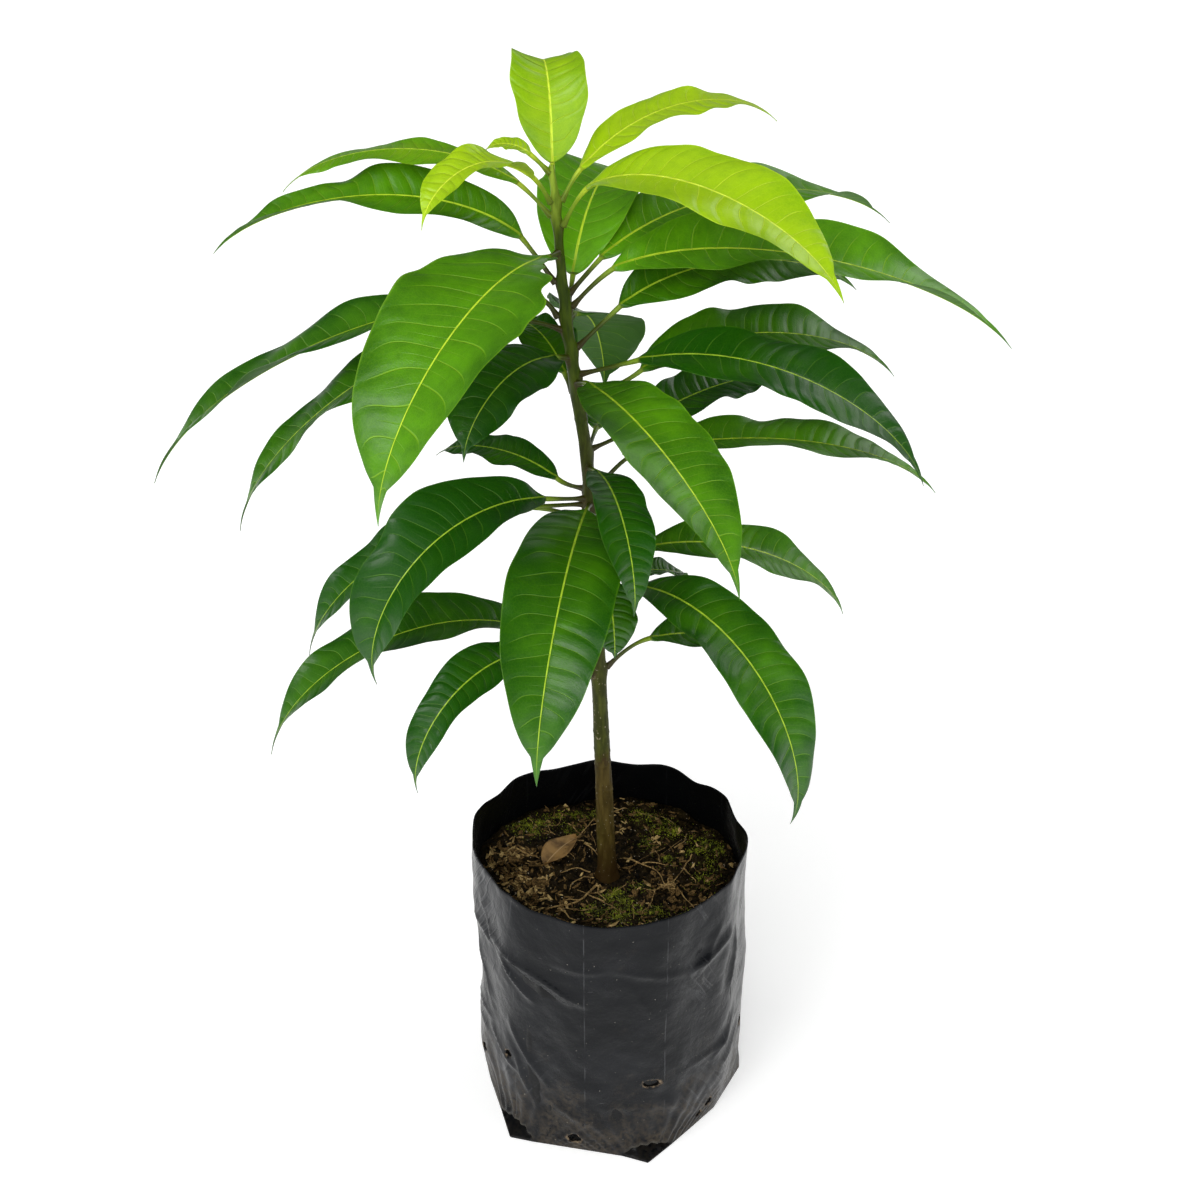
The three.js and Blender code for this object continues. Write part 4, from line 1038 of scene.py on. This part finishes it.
    stalk_t = np.broadcast_to((along - 1)[:, None], (STALK_RINGS, a.shape[1]))
    vein = np.stack([
        np.vstack([0 * stalk_t, count]), np.vstack([0 * stalk_t, y]), np.vstack([stalk_t, t + 0 * a]),
    ], -1)
    margin = (np.abs(a) == 1) & (np.arange(len(vein)) > STALK_RINGS + 2)[:, None]
    beneath = np.broadcast_to((1 - side) / 2, vein.shape[:2])
    look = np.stack([np.broadcast_to(a, vein.shape[:2]), beneath, np.full(vein.shape[:2], age)], -1)
    edge = np.append(margin.ravel(), [False, False])
    return closed_skin(np.vstack([stalk_points, blade_points])), with_ends(vein), with_ends(look), edge


def vein_group():
    """Leaf veins as masks: the midrib that narrows to the tip, the side veins that fade out before the margin,
    the fine net between them, and the height of the quilting that they make."""
    group = bpy.data.node_groups.new("leaf_veins", "ShaderNodeTree")
    for name in ("Vein", "Blade", "Place"):
        group.interface.new_socket(name, in_out="INPUT", socket_type="NodeSocketVector")
    for name in ("Midrib", "Side veins", "Net", "Height"):
        group.interface.new_socket(name, in_out="OUTPUT", socket_type="NodeSocketFloat")
    given, result = group.nodes.new("NodeGroupInput"), group.nodes.new("NodeGroupOutput")
    count, across, along = Value(group, given.outputs["Vein"]).parts()
    share, beneath, age = Value(group, given.outputs["Blade"]).parts()
    across, share = abs(across), abs(share)
    half_rib = (along * -0.50 + 0.64) * (age * -0.25 + 1.08)
    midrib = (across - half_rib).step(0.16, -0.10) * along.step(0.99, 0.84)
    from_vein = (count + 40.5).math("PINGPONG", 0.5)
    between = from_vein.step(0.474, 0.494) * share.step(0.62, 0.2)
    fade = share.step(0.93, 0.55) * along.step(0.975, 0.88) * along.step(0.0, 0.05)
    side_veins = (between * 0.35 + from_vein.step(0.038, 0.010)) * fade
    cells = add_node(group, "TexVoronoi", {"Vector": given.outputs["Place"], "Scale": 620.0},
                     feature="DISTANCE_TO_EDGE").outputs["Distance"]
    net = Value(group, cells).step(0.11, 0.02)
    quilt = from_vein.step(0.0, 0.30) * (beneath * -0.6 + 0.5)
    height = quilt + side_veins * (beneath * 1.4 - 0.6) + net * -0.05
    for name, value in (("Midrib", midrib), ("Side veins", side_veins), ("Net", net), ("Height", height)):
        group.links.new(value.socket, result.inputs[name])
    return group


def leaf_material(name, group, fresh, dark, ribs, vein_tints, beneath_tint, stalks):
    """Leaf skin: a colour between fresh and dark by age, mottled, paler beneath and duller there, with bright
    veins, a thin pale margin, and a stalk that runs from its own foot colour to that of the midrib."""
    material, place = new_material(name)
    tree = material.node_tree
    vein_field, blade_field = field_of(place, "vein", "Vector"), field_of(place, "blade", "Vector")
    along = vein_field.parts()[2]
    share, beneath, age = blade_field.parts()
    share = abs(share)
    masks = tree.nodes.new("ShaderNodeGroup")
    masks.node_tree = group
    for key, value in (("Vein", vein_field), ("Blade", blade_field), ("Place", place)):
        tree.links.new(value.socket, masks.inputs[key])
    midrib, side_veins, net, height = [Value(tree, socket) for socket in masks.outputs]
    fleck = mottle(place, 190, 4)
    old = age.step(0.2, 0.95)
    rib, vein = tint(old, *ribs), tint(old, *vein_tints)
    ripe = share.step(0.35, 1.0) * 0.14 + ((mottle(place, 34, 4) - 0.5) * 0.9 + age)
    stalk = tint(along.step(-0.92, -0.55), stalks[0], stalks[1])
    stalk = tint(along.step(-0.5, 0.02), stalk, stalks[2])
    colour = layers(
        tint(ripe.step(-0.05, 1.05), fresh, dark),
        (fleck.step(0.4, 0.75), 0.22, dark), (net, 0.12, vein), (beneath, 0.55, beneath_tint),
        (side_veins, 0.8, vein), (share.step(0.965, 0.995), 0.5, vein),
        (midrib, 1.0, tint(along.step(-0.02, 0.14), stalk, rib)), (along.step(0.012, -0.004), 1.0, stalk),
    )
    roughness = beneath * 0.5 + (fleck * 0.14 + 0.24)
    return finish(material, colour, roughness, fleck * 0.16 + height, 0.4, Specular_IOR_Level=0.5)


veins = vein_group()
mature = leaf_material(
    "mature_leaf", veins, fresh=(0.104, 0.325, 0.002), dark=(0.0072, 0.062, 0.0008),
    ribs=((0.56, 0.76, 0.035), (0.34, 0.52, 0.03)), vein_tints=((0.20, 0.42, 0.012), (0.055, 0.165, 0.006)),
    beneath_tint=(0.036, 0.112, 0.007),
    stalks=((0.040, 0.034, 0.008), (0.045, 0.064, 0.003), (0.17, 0.27, 0.008)),
)
young = leaf_material(
    "young_leaf", veins, fresh=(0.33, 0.53, 0.003), dark=(0.085, 0.25, 0.001),
    ribs=((0.66, 0.82, 0.05), (0.46, 0.66, 0.04)), vein_tints=((0.46, 0.66, 0.02), (0.22, 0.42, 0.012)),
    beneath_tint=(0.36, 0.48, 0.02),
    stalks=((0.10, 0.15, 0.006), (0.17, 0.27, 0.008), (0.40, 0.52, 0.02)),
)
for number, (name, row) in enumerate(LEAVES.items(), 1):
    skin, vein, look, edge = leaf_skin(row, number, NOTCHES.get(name, ()))
    fresh = name in YOUNG_LEAVES
    make_piece("mango_" + name, [skin], young if fresh else mature, "young_leaf" if fresh else "leaf", name,
               edge=edge, vein=vein, blade=look)

# ---- The floor, light and camera ----
# A plain pale floor, wide enough to fill the view, under a soft sky and seven large soft lamps.

FLOOR_GLOW = 0.34  # the floor is a sheet lit from below as well, so shadows stay faint
HORIZON_FRONT, HORIZON_BACK, ZENITH, BACKDROP = (0.55,) * 3, (0.33,) * 3, (0.04,) * 3, (0.93,) * 3
FLOOR_HALF, FLOOR_CELLS, FLOOR_DROP = 14.0, 8, 0.0004  # metres: it lies a hair below the bag's foot

floor_mesh = bpy.data.meshes.new("pale_floor")
lines = FLOOR_CELLS + 1
steps = np.linspace(-FLOOR_HALF, FLOOR_HALF, lines)
fx, fy = np.meshgrid(steps, steps, indexing="ij")
corner = (np.arange(FLOOR_CELLS)[:, None] * lines + np.arange(FLOOR_CELLS)[None, :]).ravel()
floor_points = np.column_stack([fx.ravel(), fy.ravel(), np.full(fx.size, -FLOOR_DROP)])
floor_faces = np.column_stack([corner, corner + lines, corner + lines + 1, corner + 1])
floor_mesh.from_pydata(floor_points.tolist(), [], floor_faces.tolist())
floor_mesh.update()
floor = bpy.data.objects.new("pale_floor", floor_mesh)
bpy.context.scene.collection.objects.link(floor)
material, place = new_material("pale_floor")
speckle = mottle(place, 5, 2)
white = tint(speckle, (0.93, 0.93, 0.93), (0.95, 0.95, 0.95))
finish(material, white, speckle * 0.05 + 0.7, speckle, 0.01, Emission_Strength=FLOOR_GLOW)
material.node_tree.links.new(white.socket, material.node_tree.nodes["Principled BSDF"].inputs["Emission Color"])
floor_mesh.materials.append(material)

world = bpy.data.worlds.new("soft_sky")
world.use_nodes = True
sky = world.node_tree
_, backward, upward = Value(sky, sky.nodes.new("ShaderNodeTexCoord").outputs["Generated"]).parts()
sky_light = tint(upward.step(0.02, 0.5), tint(backward.step(-0.3, 0.6), HORIZON_FRONT, HORIZON_BACK), ZENITH)
seen = Value(sky, sky.nodes.new("ShaderNodeLightPath").outputs["Is Camera Ray"])
sky.links.new(tint(seen, sky_light, BACKDROP).socket, sky.nodes["Background"].inputs["Color"])
bpy.context.scene.world = world

LAMPS_AIM = Vector((0, 0, 0.3))
LAMPS = (  # name, where its light comes from, degrees of sky that it fills, power, and whether gloss mirrors it
    ("front_lamp", (-0.4, -1.4, 1.2), 50, 1.6, False), ("low_lamp", (0.1, -1.5, 0.72), 40, 0.75, False),
    ("left_front_lamp", (-0.75, -0.75, 1.36), 28, 0.7, True),
    ("right_back_lamp", (0.89, 0.80, 1.2), 34, 0.45, True), ("right_lamp", (1.3, -0.2, 1.0), 60, 0.7, False),
    ("left_lamp", (-1.3, -0.1, 0.9), 60, 0.8, False), ("back_lamp", (-0.3, 0.6, 1.8), 60, 0.4, False),
)
for name, spot, spread, power, gloss in LAMPS:
    light = bpy.data.lights.new(name, "SUN")
    light.angle, light.energy = np.radians(spread), power
    lamp = bpy.data.objects.new(name, light)
    lamp.location = spot
    lamp.visible_glossy = gloss
    lamp.rotation_euler = (LAMPS_AIM - Vector(spot)).to_track_quat("-Z", "Y").to_euler()
    bpy.context.scene.collection.objects.link(lamp)

LENS, FILM_GATE, EYE, TILT = 43.5, 36.0, (-0.0059, -0.700, 0.683), 63  # looks down on the plant from in front
view = bpy.data.cameras.new("view")
view.lens, view.sensor_width = LENS, FILM_GATE
camera = bpy.data.objects.new("view", view)
camera.location = EYE
camera.rotation_euler = (np.radians(TILT), 0, 0)
bpy.context.scene.collection.objects.link(camera)
bpy.context.scene.camera = camera
bpy.context.scene.view_settings.view_transform = "Standard"
